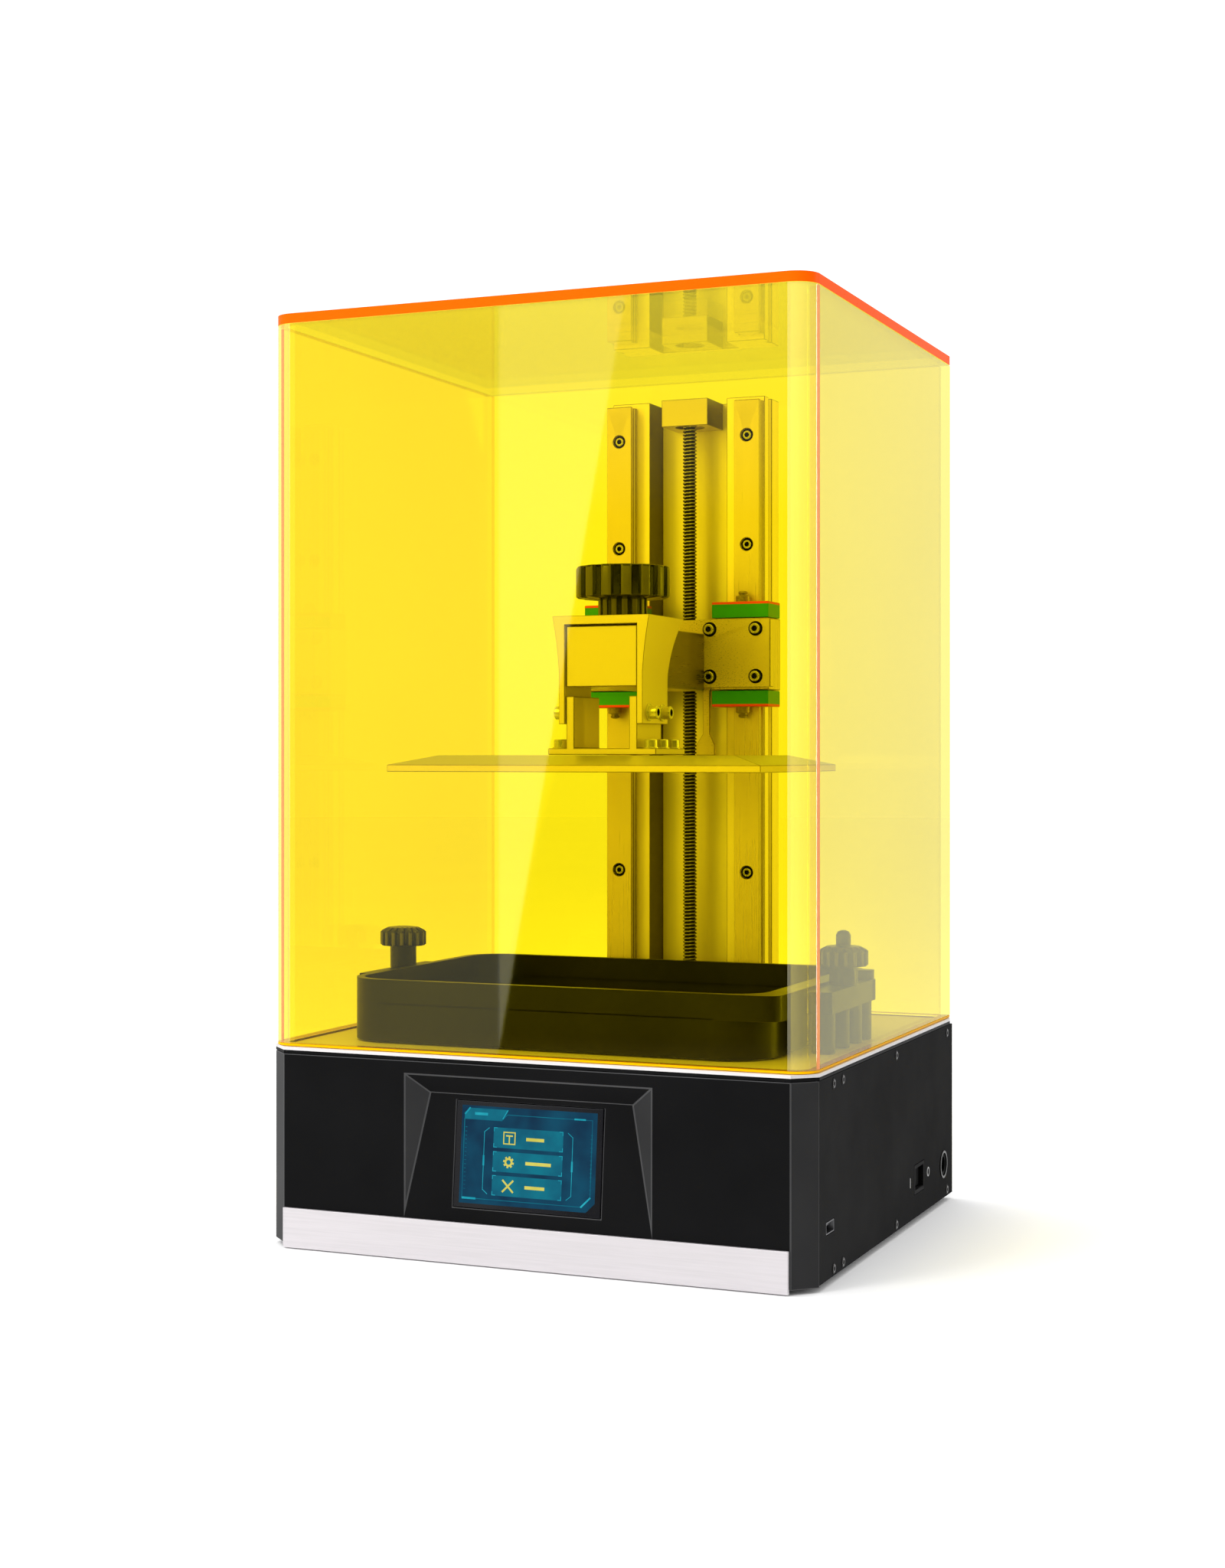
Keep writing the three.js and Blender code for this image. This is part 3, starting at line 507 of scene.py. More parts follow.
def carve(ob, cutter):
    """Cuts the cutter's shape out of ob's own mesh."""
    mesh = bpy.data.meshes.new("cutter")
    bmesh.ops.recalc_face_normals(cutter, faces=cutter.faces)
    cutter.to_mesh(mesh)
    cutter.free()
    tool = bpy.data.objects.new("cutter", mesh)
    bpy.context.scene.collection.objects.link(tool)
    kept = [(modifier, modifier.show_viewport) for modifier in ob.modifiers]
    for modifier, _ in kept:
        modifier.show_viewport = False
    boolean = ob.modifiers.new("cut", "BOOLEAN")
    boolean.object = tool
    boolean.solver = "EXACT"
    graph = bpy.context.evaluated_depsgraph_get()
    result = bpy.data.meshes.new_from_object(ob.evaluated_get(graph))
    ob.modifiers.remove(boolean)
    result.set_sharp_from_angle(angle=math.radians(30))
    ob.data = result
    for modifier, shown in kept:
        modifier.show_viewport = shown
    bpy.data.objects.remove(tool)


def socket_screw(name, place, direction, radius, height, body, material="bolt"):
    """A socket-head screw's head with a chamfered rim and a hexagonal socket in gloss black, as painted
    shade.
    """
    bm = bmesh.new()
    rim = 0.12 * radius
    pit = 0.5 * radius
    depth = 0.55 * height
    profile = [
        (0, 0), (radius, 0), (radius, height - rim), (radius - rim, height),
        (pit * 1.12, height), (pit, height - rim), (pit, height - depth), (0, height - depth),
    ]
    pit_rings = (4, 5)
    add_turned(bm, profile, 36, lambda index, angle: hexagon_share(angle) if index in pit_rings else 1.0)
    # The socket's faces are gloss black: painted shade in the pit.
    paint_faces(bm, 1, lambda _, centre: centre.xy.length < 1.06 * pit and centre.z > 0.1 * height)
    placed(bm, 0, aim(place, direction))
    return piece(name, bm, body, material, "gloss", smooth=30)


def washer(name, place, direction, radius, thick, body, material="bolt"):
    """A disc with a chamfered edge, for under a screw's head."""
    bm = bmesh.new()
    edge = 0.25 * thick
    add_turned(bm, [(0, 0), (radius, 0), (radius, thick - edge), (radius - edge, thick), (0, thick)], 32)
    placed(bm, 0, aim(place, direction))
    return piece(name, bm, body, material, smooth=30)


# ---- housing
def recess_highlight_paint(face):
    """The recess's side slopes and the cut corners get a lighter copy of the paint, as painted highlight.
    """
    normal = face.normal
    slanting = normal.y < -0.5 and 0.2 < abs(normal.x) < 0.75
    return 2 if slanting else 0


def make_housing():
    # The side and rear panels get a lighter copy of the housing paint, as painted light.
    for node in ("side_panel_left", "side_panel_right", "rear_panel"):
        refined(node, "paint_side_light", width=0.25 * MM)
    refined("base_pan", "paint", width=0.3 * MM)
    # The front frame's rounded edges are in a lighter paint, as painted highlight.
    # The front frame's slopes and cut corners are in a lighter paint, as painted highlight.
    refined(
        "front_frame", "paint", "paint_edge_highlight", "paint_facet_highlight",
        width=0.45 * MM, edge_angle=15, paint=recess_highlight_paint,
    )
    make_deck()
    refined("front_strip", "strip", width=0.3 * MM)
    for side in ("left", "right"):
        for end in ("front", "rear"):
            refined(f"foot_{end}_{side}", "rubber", width=0.8 * MM, segments=3)


def make_deck():
    """The aluminium top plate, with the lower part of its edge painted like the housing."""
    low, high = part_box("top_plate")
    split = low[2] + DECK_LIP * (high[2] - low[2])
    bm = node_mesh("top_plate")
    cut_across(bm, split)
    for face in bm.faces:
        upright = abs(face.normal.z) < 0.5
        # Upright faces above the lip get a darker metal, as painted shade.
        face.material_index = 1 if face.calc_center_median().z < split else 2 * upright
    piece(
        "top_plate_shape", bm, "base", "deck", "paint", "deck_edge_shade",
        replaces=("top_plate",), round_edges=(0.25 * MM, 2),
    )


def make_panel_screws():
    (_, y_front, z_low), (x, y_back, z_high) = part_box("side_panel_right")
    rows = (z_low + 3.6 * MM, z_high - 4 * MM)
    columns = (y_front + 22.5 * MM, y_front + 38 * MM, y_front + 136 * MM, y_back - 12.7 * MM)
    sunk = 0.3 * MM
    for side, name in SIDES:
        outwards = (side, 0, 0)
        for i, (y, z) in enumerate((y, z) for z in rows for y in columns):
            place = (side * (x - sunk), y, z)
            screw = f"panel_screw_{name}_{i + 1}"
            socket_screw(screw, place, outwards, 2.2 * MM, 0.8 * MM, "base", "dark_steel")
            # A matt black disc under each screw paints the shade round its head.
            washer(f"panel_dimple_shade_{name}_{i + 1}", place, outwards, 3.0 * MM, 0.45 * MM, "base", "matt")


def make_rear_screws():
    """Screws round the rear panel, and two rows up the back of the column."""
    backwards = (0, 1, 0)
    sunk = 0.2 * MM
    low, high = span("rear_panel")
    inset = 7 * MM
    x_places = (low.x + inset, 0, high.x - inset)
    for i, (x, z) in enumerate((x, z) for z in (low.z + inset, high.z - inset) for x in x_places):
        place = (x, high.y - sunk, z)
        socket_screw(f"rear_screw_{i + 1}", place, backwards, 2.2 * MM, 0.7 * MM, "base", "dark_steel")
    low, high = span("z_column")
    heights = [low.z + 25 * MM + i * 75 * MM for i in range(5)]
    for i, (x, z) in enumerate((x, z) for z in heights for x in (0.7 * low.x, 0.7 * high.x)):
        place = (x, high.y - sunk, z)
        socket_screw(f"column_screw_{i + 1}", place, backwards, 3.4 * MM, 2.0 * MM, "base")


def face_towards(node, direction):
    """The centre and the normal of the node's flat face that looks most nearly along direction."""
    bm = node_mesh(node)
    best = max(bm.faces, key=lambda face: (round(face.normal.dot(Vector(direction)), 2), face.calc_area()))
    found = best.calc_center_bounds().copy(), best.normal.copy()
    bm.free()
    return found


def make_touch_screen():
    refined("touch_glass", "gloss", width=0.3 * MM)
    refined("touch_display", "plastic", width=0.3 * MM)
    centre, normal = face_towards("touch_glass", (0, -1, 0))
    right = Vector((1, 0, 0))
    up = normal.cross(right)
    turn = Matrix((right, up, normal)).transposed().to_4x4()
    onto_glass = Matrix.Translation(centre) @ turn
    layer_thick = 0.03 * MM

    def layer(name, material, outlines, level):
        bm = bmesh.new()
        for outline in outlines:
            points = [(u * MM, v * MM) for u, v in outline]
            add_prism(bm, points, (level - 1) * layer_thick, level * layer_thick)
        placed(bm, 0, onto_glass)
        piece(name, bm, "base", material, smooth=30)

    make_picture_frame(layer)
    make_picture_menu(layer)


def make_picture_frame(layer):
    """The display's background, its border with a tab at the top left, and marks round the edge. In mm."""
    wide, high = 36.0, 23.8
    cut = 4.5
    picture = [(-wide, -high), (wide - cut, -high), (wide, -high + cut), (wide, high), (-wide, high)]
    layer("display_picture", "picture", [picture], 1)
    left = -wide + 1.5
    tab_top = high - 1.2
    border = [
        (left, -high + 2.5), (wide - 7, -high + 2.5), (wide - 2.5, -high + 7),
        (wide - 2.5, high - 3.6), (-11.5, high - 3.6), (-14.5, high - 6.6), (left, high - 6.6),
    ]
    layer("display_border", "tile", strokes(border, 0.35, closed=True), 2)
    tab = [
        (left, high - 6.4), (-14.5, high - 6.4), (-11.0, tab_top), (-wide + 4, tab_top), (left, high - 3.7),
    ]
    layer("display_tab", "tile", [tab], 3)
    marks = [
        bar(left, -high + 2.0, -wide + 9, -high + 3.0),
        bar(wide - 12, high - 3.9, wide - 6, high - 3.1),
        *strokes([(-wide + 1.8, high - 4.2), (-wide + 4.2, high - 1.3)], 0.7),
        *strokes([(wide - 7, -high + 2.6), (wide - 2.6, -high + 7)], 0.8),
        *strokes([(-13.8, high - 5.6), (-11.4, high - 1.6)], 0.5),
        bar(-wide + 7, high - 4.5, -wide + 14, high - 3.2),
    ]
    layer("display_marks", "line", marks, 4)
    tick_places = [(side * 33.4, v) for side in (-1, 1) for v in range(-17, 15, 2)]
    ticks = [bar(u - 0.5, v, u + 0.5, v + 0.25) for u, v in tick_places]
    layer("display_ticks", "tile", ticks, 3)


def make_picture_menu(layer):
    """Three tiles between brackets, each with a symbol and a plain bar. In mm."""
    brackets = []
    for side in (-1, 1):
        u = side * 23.5
        end = u - side * 2.5
        brackets += strokes([(end, 13.4), (u, 11.4), (u, -16.6), (end, -18.6)], 0.3)
        brackets.append(bar(u - 0.45, -5, u + 0.45, 0))
    layer("display_brackets", "line", brackets, 2)
    rows = (9.0, -2.6, -14.2)
    half_row, half_tile = 4.9, 18.5
    tiles, corners = [], []
    for v in rows:
        tiles.append(bar(-half_tile, v - half_row, half_tile, v + half_row))
        for a in (-1, 1):
            for b in (-1, 1):
                u0, v0 = a * (half_tile - 0.2), v + b * (half_row - 0.2)
                corners += strokes([(u0 - a * 1.6, v0), (u0, v0), (u0, v0 - b * 1.6)], 0.35)
    layer("display_tiles", "tile", tiles, 3)
    layer("display_tile_corners", "line", corners, 4)
    low, middle, cross = rows[0] - 2.8, -10, 2.6
    glyphs = strokes([(-13, low), (-7, low), (-7, low + 5.6), (-13, low + 5.6)], 0.55, closed=True)
    glyphs += [bar(-10.3, low, -9.7, low + 4.2), bar(-11.8, low + 3.6, -8.2, low + 4.3)]
    glyphs += gear((middle, rows[1]), 2.9, 8)
    for slope in (1, -1):
        ends = [(middle + side * cross, rows[2] + side * slope * cross) for side in (-1, 1)]
        glyphs += strokes(ends, 0.9)
    glyphs += [bar(-1, v - 0.8, length, v + 0.8) for v, length in zip(rows, (8.5, 12.5, 9.5))]
    layer("display_glyphs", "glyph", glyphs, 5)


def bar(u0, v0, u1, v1):
    """A rectangle's outline."""
    return [(u0, v0), (u1, v0), (u1, v1), (u0, v1)]


def strokes(points, width, closed=False):
    """One thin quadrilateral for each stretch of a line."""
    ends = points[1:] + points[:1] if closed else points[1:]
    made = []
    for (u0, v0), (u1, v1) in zip(points, ends):
        along = Vector((u1 - u0, v1 - v0)).normalized() * width / 2
        across = Vector((-along.y, along.x))
        a, b = Vector((u0, v0)) - along, Vector((u1, v1)) + along
        made.append([tuple(p) for p in (a - across, b - across, b + across, a + across)])
    return made


def gear(centre, radius, teeth):
    """A toothed ring as four-sided pieces."""
    made = []
    for i in range(teeth * 2):
        outer = radius if i % 2 else radius * 0.75
        a0, a1 = TAU * i / (teeth * 2), TAU * (i + 1) / (teeth * 2)
        corners = ((0.4 * radius, a0), (outer, a0), (outer, a1), (0.4 * radius, a1))
        made.append([(centre[0] + r * math.cos(a), centre[1] + r * math.sin(a)) for r, a in corners])
    return made


# ---- inside the housing
def make_internals():
    for node in ("light_box", "fan_frame", "fan_rotor"):
        refined(node, "plastic", width=0.3 * MM)
    refined("light_lens", "film", width=0.3 * MM)
    for node in ("led_board", "main_board"):
        refined(node, "board", width=0.1 * MM, segments=1)
    refined("heat_sink", "extrusion", width=0.2 * MM, segments=1)
    refined("masking_screen", "screen", width=0.2 * MM)
    refined("stepper_motor", "dark_steel", width=0.6 * MM)
    refined("motor_shaft", "ground", width=0.3 * MM)
    refined("coupler", "machined")
    refined("limit_sensor", "plastic", width=0.3 * MM)


def make_sockets():
    refined("switch_housing", "matt")
    refined("power_rocker", "matt")
    refined("dc_jack", "matt", width=0.3 * MM)
    refined("usb_port", "socket", width=0.15 * MM, segments=1)
    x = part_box("side_panel_right")[1][0]
    make_switch_marks(x)
    make_jack_collar(x)


def make_switch_marks(x):
    """A printed bar in front of the switch and a ring behind it, on the panel at x."""
    switch = mid("switch_housing")
    reach = 19 * MM
    ink_thick = 0.05 * MM
    half_wide, half_high = 0.5 * MM, 2.6 * MM
    bm = bmesh.new()
    y = switch.y - reach
    low = (x, y - half_wide, switch.z - half_high)
    high = (x + ink_thick, y + half_wide, switch.z + half_high)
    add_box(bm, low, high)
    start = len(bm.verts)
    add_tube(bm, circle(half_high, 24), circle(1.8 * MM, 24), 0, ink_thick)
    placed(bm, start, aim((x, switch.y + reach, switch.z), (1, 0, 0)))
    piece("switch_marks", bm, "base", "ink", smooth=30)


def make_jack_collar(x):
    """The ring round the power socket, on the panel at x."""
    jack = mid("dc_jack")
    radius = 7.6 * MM
    bm = bmesh.new()
    add_tube(bm, circle(radius, 40), circle(radius - 1.3 * MM, 40), 0, 0.7 * MM)
    placed(bm, 0, aim((x, jack.y, jack.z), (1, 0, 0)))
    piece("jack_collar", bm, "base", "dark_steel", round_edges=(0.2 * MM, 2))


# ---- column
def channel_shade_paint(face):
    """The walls of the column's middle channel get a dark metal, as painted shade."""
    inside = abs(face.calc_center_median().x) < 24 * MM
    return 2 if inside and abs(face.normal.x) > 0.9 else 0


def make_column():
    # The column's and the bearing block's rounded edges are in a darker metal, as painted shade.
    refined("z_column", "extrusion", "brown_metal_and_edge_shade", "channel", paint=channel_shade_paint)
    # The bearing block's right face is in a darker brushed metal, as painted shade.
    refined(
        "top_bearing_block", "machined", "brown_metal_and_edge_shade", "arm",
        paint=lambda face: 2 if face.normal.x > 0.7 else 0,
    )
    refined("top_bearing", "ground", width=0.3 * MM)
    for _, name in SIDES:
        make_rail(name)


def make_rail(name):
    """A rail with its counterbores, each with a matt black seat as painted shade in the bore, and a socket
    screw.
    """
    node = f"rail_{name}"
    # The rail's rounded edges are in a darker metal, as painted shade.
    rail = refined(node, "ground", "brown_metal_and_edge_shade")
    low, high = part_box(node)
    x = (low[0] + high[0]) / 2
    heights = [high[2] - 20 * MM - i * RAIL_SCREW_PITCH for i in range(6)]
    bore, deep = 3.6 * MM, 4 * MM
    cutter = bmesh.new()
    for z in heights:
        start = len(cutter.verts)
        add_prism(cutter, circle(bore, 32), -1 * MM, deep)
        placed(cutter, start, aim((x, low[1], z), (0, 1, 0)))
    carve(rail, cutter)
    for i, z in enumerate(heights):
        place = (x, low[1] + deep - 0.1 * MM, z)
        seat = bore - 0.05 * MM
        washer(f"rail_bore_shade_{name}_{i + 1}", place, (0, -1, 0), seat, 2.6 * MM, "base", "matt")
        socket_screw(f"rail_screw_{name}_{i + 1}", place, (0, -1, 0), 2.45 * MM, 3.6 * MM, "base")


def thread_radius(phase, crest, root):
    """A trapezoidal thread's radius at a phase from 0 to 1."""
    flank = abs(2 * (phase % 1.0) - 1)
    return root + (crest - root) * min(1.0, max(0.0, 3 * flank - 1))


def make_lead_screw():
    low, high = span("lead_screw")
    axis = mid("lead_screw").xy
    crest = (high.x - low.x) / 2
    root = crest - THREAD_DEPTH
    steps = 24
    spacing = THREAD_PITCH / 8       # a whole number of rings to each turn, so all turns look alike
    heights = [low.z + i * spacing for i in range(int((high.z - low.z) / spacing) + 1)] + [high.z]
    rings = []
    for z in heights:
        ring = []
        for j in range(steps):
            radius = thread_radius((z - low.z) / THREAD_PITCH - j / steps, crest, root)
            angle = TAU * j / steps
            ring.append((axis.x + radius * math.cos(angle), axis.y + radius * math.sin(angle), z))
        rings.append(ring)
    bm = bmesh.new()
    add_rings(bm, rings)
    # The crests are in a paler metal than the roots, as painted highlight.
    paint_faces(bm, 1, lambda _, centre: (centre.xy - axis).length > crest - 0.1 * MM)
    piece("lead_screw_thread", bm, "screw", "root", "crest", replaces=("lead_screw",), smooth=50)


# ---- carriage
def make_carriage():
    # Rounded edges in the darker second metal are painted shade.
    for _, side in SIDES:
        refined(f"rail_block_{side}", "ground", "brown_metal_and_edge_shade", width=0.5 * MM)
        make_end_cap("upper", side, 1)
        make_end_cap("lower", side, -1)
    refined("carriage_plate", "carriage", "brown_metal_and_edge_shade", width=0.5 * MM)
    # The arm's side faces are in a darker brushed metal, as painted shade.
    refined(
        "lift_arm", "machined", "brown_metal_and_edge_shade", "arm",
        width=0.6 * MM, paint=lambda face: 2 if abs(face.normal.x) > 0.7 else 0,
    )
    refined("nut_bracket", "machined")
    refined("lead_nut", "brass", width=0.3 * MM)
    refined("sensor_flag", "carriage", "brown_metal_and_edge_shade", width=0.3 * MM)
    make_carriage_screws()


def make_end_cap(level, side, up):
    """A green cap with its red wiper seal on the outer end, and a grease nipple above the seal."""
    node = f"end_cap_{level}_{side}"
    low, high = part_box(node)
    outer = high[2] if up > 0 else low[2]
    seal = outer - up * SEAL_THICK
    bm = node_mesh(node)
    cut_across(bm, seal)
    paint_faces(bm, 1, lambda _, centre: (centre.z - seal) * up > 0.02 * MM)
    piece(f"{node}_shape", bm, "carriage", "green", "red", replaces=(node,), round_edges=(0.5 * MM, 2))
    place = ((low[0] + high[0]) / 2, low[1] + 5.5 * MM, outer)
    make_grease_nipple(f"grease_nipple_{level}_{side}", place, up)


def make_grease_nipple(name, place, up):
    profile = [
        (0, 0), (4.0, 0), (4.0, 3.2), (3.2, 3.7), (2.2, 3.9),
        (2.2, 4.5), (2.7, 5.1), (2.2, 6.0), (0.8, 6.4), (0, 6.4),
    ]
    bm = bmesh.new()
    add_turned(bm, [(r * MM, z * MM) for r, z in profile], 24)
    placed(bm, 0, aim(place, (0, 0, up)))
    piece(name, bm, "carriage", "brown_metal_and_edge_shade", smooth=30)


def make_carriage_screws():
    """Four screws into each rail block, each on a matt black seat that paints the shade round its head."""
    low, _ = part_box("carriage_plate")
    forwards = Vector((0, -1, 0))
    grid = [(x * MM, z * MM) for z in (6, 32.5) for x in (23, 50)]
    for side, name in SIDES:
        for i, (x, z) in enumerate(grid):
            place = Vector((side * x, low[1], low[2] + z))
            label = f"{name}_{i + 1}"
            washer(f"carriage_washer_shade_{label}", place, forwards, 4.1 * MM, 0.25 * MM, "carriage", "matt")
            above = place + 0.2 * MM * forwards
            socket_screw(f"carriage_screw_{label}", above, forwards, 2.9 * MM, 2.2 * MM, "carriage")


# ---- platform
def make_platform():
    # Rounded edges in the darker second metal are painted shade.
    for node in ("platform_yoke", "foot_bracket"):
        refined(node, "machined", "brown_metal_and_edge_shade", width=0.45 * MM)
    # The plate's top and slopes are in a darker brushed metal: a brushed finish, and painted shade.
    refined(
        "build_plate", "machined", "brown_metal_and_edge_shade", "plate",
        width=0.35 * MM, edge_angle=8, paint=lambda face: 2 if abs(face.normal.z) > 0.2 else 0,
    )
    make_clamp_knob()
    yoke, _ = span("platform_yoke")
    flange, _ = span("foot_bracket")
    yoke_face, flange_x = 23.6 * MM, 25.6 * MM
    for side, name in SIDES:
        for i, y in enumerate((yoke.y + 9 * MM, yoke.y + 28.5 * MM)):
            place = Vector((side * yoke_face, y, yoke.z + 6 * MM))
            make_bolt("yoke", f"{name}_{i + 1}", place, (side, 0, 0), 4.6 * MM, 0.9 * MM, 4.6 * MM)
        for i, y in enumerate((-29 * MM, -12.5 * MM, 4 * MM)):
            place = Vector((side * flange_x, y, flange.z + 3.3 * MM))
            make_bolt("flange", f"{name}_{i + 1}", place, (0, 0, 1), 4.2 * MM, 0.7 * MM, 4.2 * MM)


def make_bolt(kind, label, place, direction, washer_radius, thick, height):
    """A socket screw standing on a washer."""
    washer(f"{kind}_washer_{label}", place, direction, washer_radius, thick, "carriage")
    above = place + (thick - 0.05 * MM) * Vector(direction)
    socket_screw(f"{kind}_bolt_{label}", above, direction, 3.5 * MM, height, "carriage")


def make_clamp_knob():
    """A scalloped hand knob with a fluted stem, on a rod into the yoke."""
    node = "clamp_knob"
    low, high = span(node)
    lobes = 14
    rim = (high.x - low.x) / 2 - 0.9 * MM
    stem = 13.2 * MM
    rod = 4 * MM
    top = high.z
    disc = top - 17 * MM
    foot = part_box("platform_yoke")[1][2] + 0.3 * MM
    stem_rings, disc_rings = (0, 1), (2, 3, 4, 5)

    def scallop(index, angle):
        dip = min(1.0, max(0.0, 2.2 * math.cos(angle * lobes) + 0.3))
        depth = 0.07 if index in stem_rings else 0.10 if index in disc_rings else 0.03
        return 1 - depth * dip

    def is_crest(normal, centre):
        outer = rim if centre.z > disc else stem
        return abs(normal.z) < 0.4 and centre.xy.length > 0.975 * outer

    profile = [
        (0, foot), (stem, foot), (stem, disc - 1 * MM),
        (rim - 1.2 * MM, disc), (rim - 0.3 * MM, disc + 0.5 * MM), (rim, disc + 1.2 * MM),
        (rim, top - 1.4 * MM), (rim - 0.4 * MM, top - 0.6 * MM), (rim - 1.2 * MM, top - 0.1 * MM),
        (rim - 8 * MM, top), (0, top),
    ]
    bm = bmesh.new()
    add_turned(bm, profile, lobes * 12, scallop)
    # The scallops' and flutes' outer faces are in a paler plastic, as painted highlight.
    paint_faces(bm, 1, is_crest)
    add_pin(bm, rod, low.z, foot - 0.05 * MM, 24)
    placed(bm, 0, Matrix.Translation((*mid(node).xy, 0)))
    piece(f"{node}_shape", bm, node, "plastic", "highlight", replaces=(node,), smooth=50)


# ---- vat
def make_vat():
    make_vat_frame()
    refined("film_ring", "bolt", width=0.3 * MM)
    refined("vat_film", "film", width=0.05 * MM, segments=1)
    for _, side in SIDES:
        make_vat_knob(side)


def make_vat_frame():
    """A machined basin: upper band, lower wall set in at the right, floor flange, two ears with legs."""
    low, high = span("vat_frame")
    front, back = low.y, high.y
    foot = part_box("vat_film")[1][2] + 0.3 * MM
    band = foot + (high.z - foot) * VAT_BAND
    rim = foot + VAT_RIM
    overlap = 0.5 * MM
    corner, wall, inset = 22 * MM, 4 * MM, 7 * MM
    left, right = -VAT_HALF, VAT_HALF
    window_x, window_y = 107.3 * MM, 9.7 * MM

    def outline(x0, x1, y0, y1, *radii):
        return rounded(x0, x1, y0, y1, radii, 12)

    outer = outline(left, right, front, back, corner, 8 * MM, corner, corner)
    lower = outline(left, right - inset, front, back, corner, 26 * MM, corner, corner)
    cavity = outline(
        left + wall, right - wall - inset, front + wall, back - wall, *(corner - wall,) * 4,
    )
    window = outline(-window_x, window_x, front + window_y, back - window_y, *(12 * MM,) * 4)

    bm = bmesh.new()
    add_tube(bm, outer, cavity, band, rim)
    add_tube(bm, lower, cavity, foot, band + overlap)
    add_tube(bm, cavity, window, foot, foot + 4.4 * MM)
    for side, _ in SIDES:
        add_ear(bm, side, low, high, band, rim)
    # The rounded edges are in a paler metal, as painted highlight.
    piece(
        "vat_frame_shape", bm, body_of("vat_frame"), "anodised", "rim",
        replaces=("vat_frame",), round_edges=(0.5 * MM, 2, 1),
    )


def add_ear(bm, side, low, high, band, rim):
    """An ear on four legs. The right one has a lug that stands up at its back."""
    front, back = VAT_EAR_FRONT, VAT_EAR_BACK
    near, far = sorted((side * (VAT_HALF - 2 * MM), side * high.x))
    add_box(bm, (near, front, band), (far, back, rim - 1.8 * MM))
    if side > 0:
        lug = rounded(near, far, back - 8 * MM, back, (3 * MM,) * 4, 5)
        add_prism(bm, lug, band + 0.1 * MM, high.z)
    near, far = sorted((side * (VAT_HALF + 1.5 * MM), side * (high.x - 0.5 * MM)))
    for y in (front + 1 * MM, front + 26 * MM, back - 30 * MM, back - 12 * MM):
        leg = rounded(near, far, y, y + 9 * MM, (3.5 * MM,) * 4, 5)
        add_prism(bm, leg, low.z, band + 0.5 * MM)


def make_vat_knob(side):
    """A thumbscrew with a ribbed cap. The right one's rod end stands out of its cap."""
    node = f"vat_knob_{side}"
    low, high = span(node)
    ribs = 16
    cap = (high.x - low.x) / 2
    collar, thread, rod = 7.2 * MM, 3 * MM, 3.8 * MM
    rod_shows = 7.6 * MM if side == "right" else 0
    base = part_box("vat_frame")[1][2] - 4.7 * MM
    crown = high.z - rod_shows
    shoulder = crown - 2.4 * MM
    under = shoulder - 8.0 * MM
    ribbed_rings = (3, 4, 5)

    def ribbed(index, angle):
        wave = max(-1.0, min(1.0, 2.2 * math.cos(angle * ribs)))
        return 0.91 + 0.09 * wave if index in ribbed_rings else 1.0

    profile = [
        (0, base), (collar, base), (collar, under), (cap - 0.9 * MM, under),
        (cap, under + 0.7 * MM), (cap, shoulder - 0.6 * MM), (cap - 0.9 * MM, shoulder + 0.3 * MM),
        (cap - 4 * MM, crown - 0.5 * MM), (cap - 8 * MM, crown), (0, crown),
    ]
    bm = bmesh.new()
    add_turned(bm, profile, ribs * 10, ribbed)
    # The ribs' outer faces are in a paler plastic, as painted highlight.
    paint_faces(bm, 1, lambda normal, centre: abs(normal.z) < 0.5 and centre.xy.length > 0.96 * cap)
    add_pin(bm, thread, low.z, base - 0.05 * MM, 20)
    if rod_shows:
        tip = [
            (0, crown - 0.5 * MM), (rod, crown - 0.5 * MM), (rod, high.z - 2.5 * MM),
            (2.9 * MM, high.z - 0.8 * MM), (1.4 * MM, high.z), (0, high.z),
        ]
        add_turned(bm, tip, 24)
    placed(bm, 0, Matrix.Translation((*mid(node).xy, 0)))
    piece(f"{node}_shape", bm, node, "plastic", "highlight", replaces=(node,), smooth=40)


# ---- cover
def make_cover():
    """Five bonded sheets. The upright ones stop at the sill, which is their shared bottom edge."""
    low, high = span("cover_front")
    top_low, top_high = span("cover_top")
    bend = high.y - low.y
    wall = top_high.z - top_low.z
    z0 = low.z + SILL_HIGH + 0.2 * MM
    z1 = high.z
    back_corner = MM
    make_bent_front(low, high, bend, wall, z0)

    for node in ("cover_side_left", "cover_side_right", "cover_rear"):
        a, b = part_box(node)
        bm = bmesh.new()
        add_box(bm, (a[0], a[1], z0), (b[0], b[1], z1))
        # The left sheet has a deeper tint than the others, as painted shade.
        sheet = "acrylic_left_shade" if node == "cover_side_left" else "acrylic"
        piece(f"{node}_sheet", bm, "cover", sheet, replaces=(node,), round_edges=(0.2 * MM, 1))

    bm = bmesh.new()
    corners = (bend, bend, back_corner, back_corner)
    add_prism(
        bm, rounded(top_low.x, top_high.x, top_low.y, top_high.y, corners, 14), top_low.z, top_high.z,
    )
    # The top sheet's edge glows, as painted light.
    paint_faces(bm, 1, lambda normal, _: abs(normal.z) < 0.5)
    piece("cover_top_sheet", bm, "cover", "acrylic", "edge", replaces=("cover_top",), smooth=40)

    make_sill(low, high, corners, wall)

    for side, name in SIDES:
        x = high.x if side > 0 else low.x
        near, far = sorted((x, x - side * 1.6 * MM))
        bm = bmesh.new()
        add_box(bm, (near, high.y + 0.03 * MM, z0), (far, high.y + 0.27 * MM, z1))
        # The seams glow faintly, as painted light.
        piece(f"cover_seam_{name}", bm, "cover", "seam", round_edges=(0.05 * MM, 1))


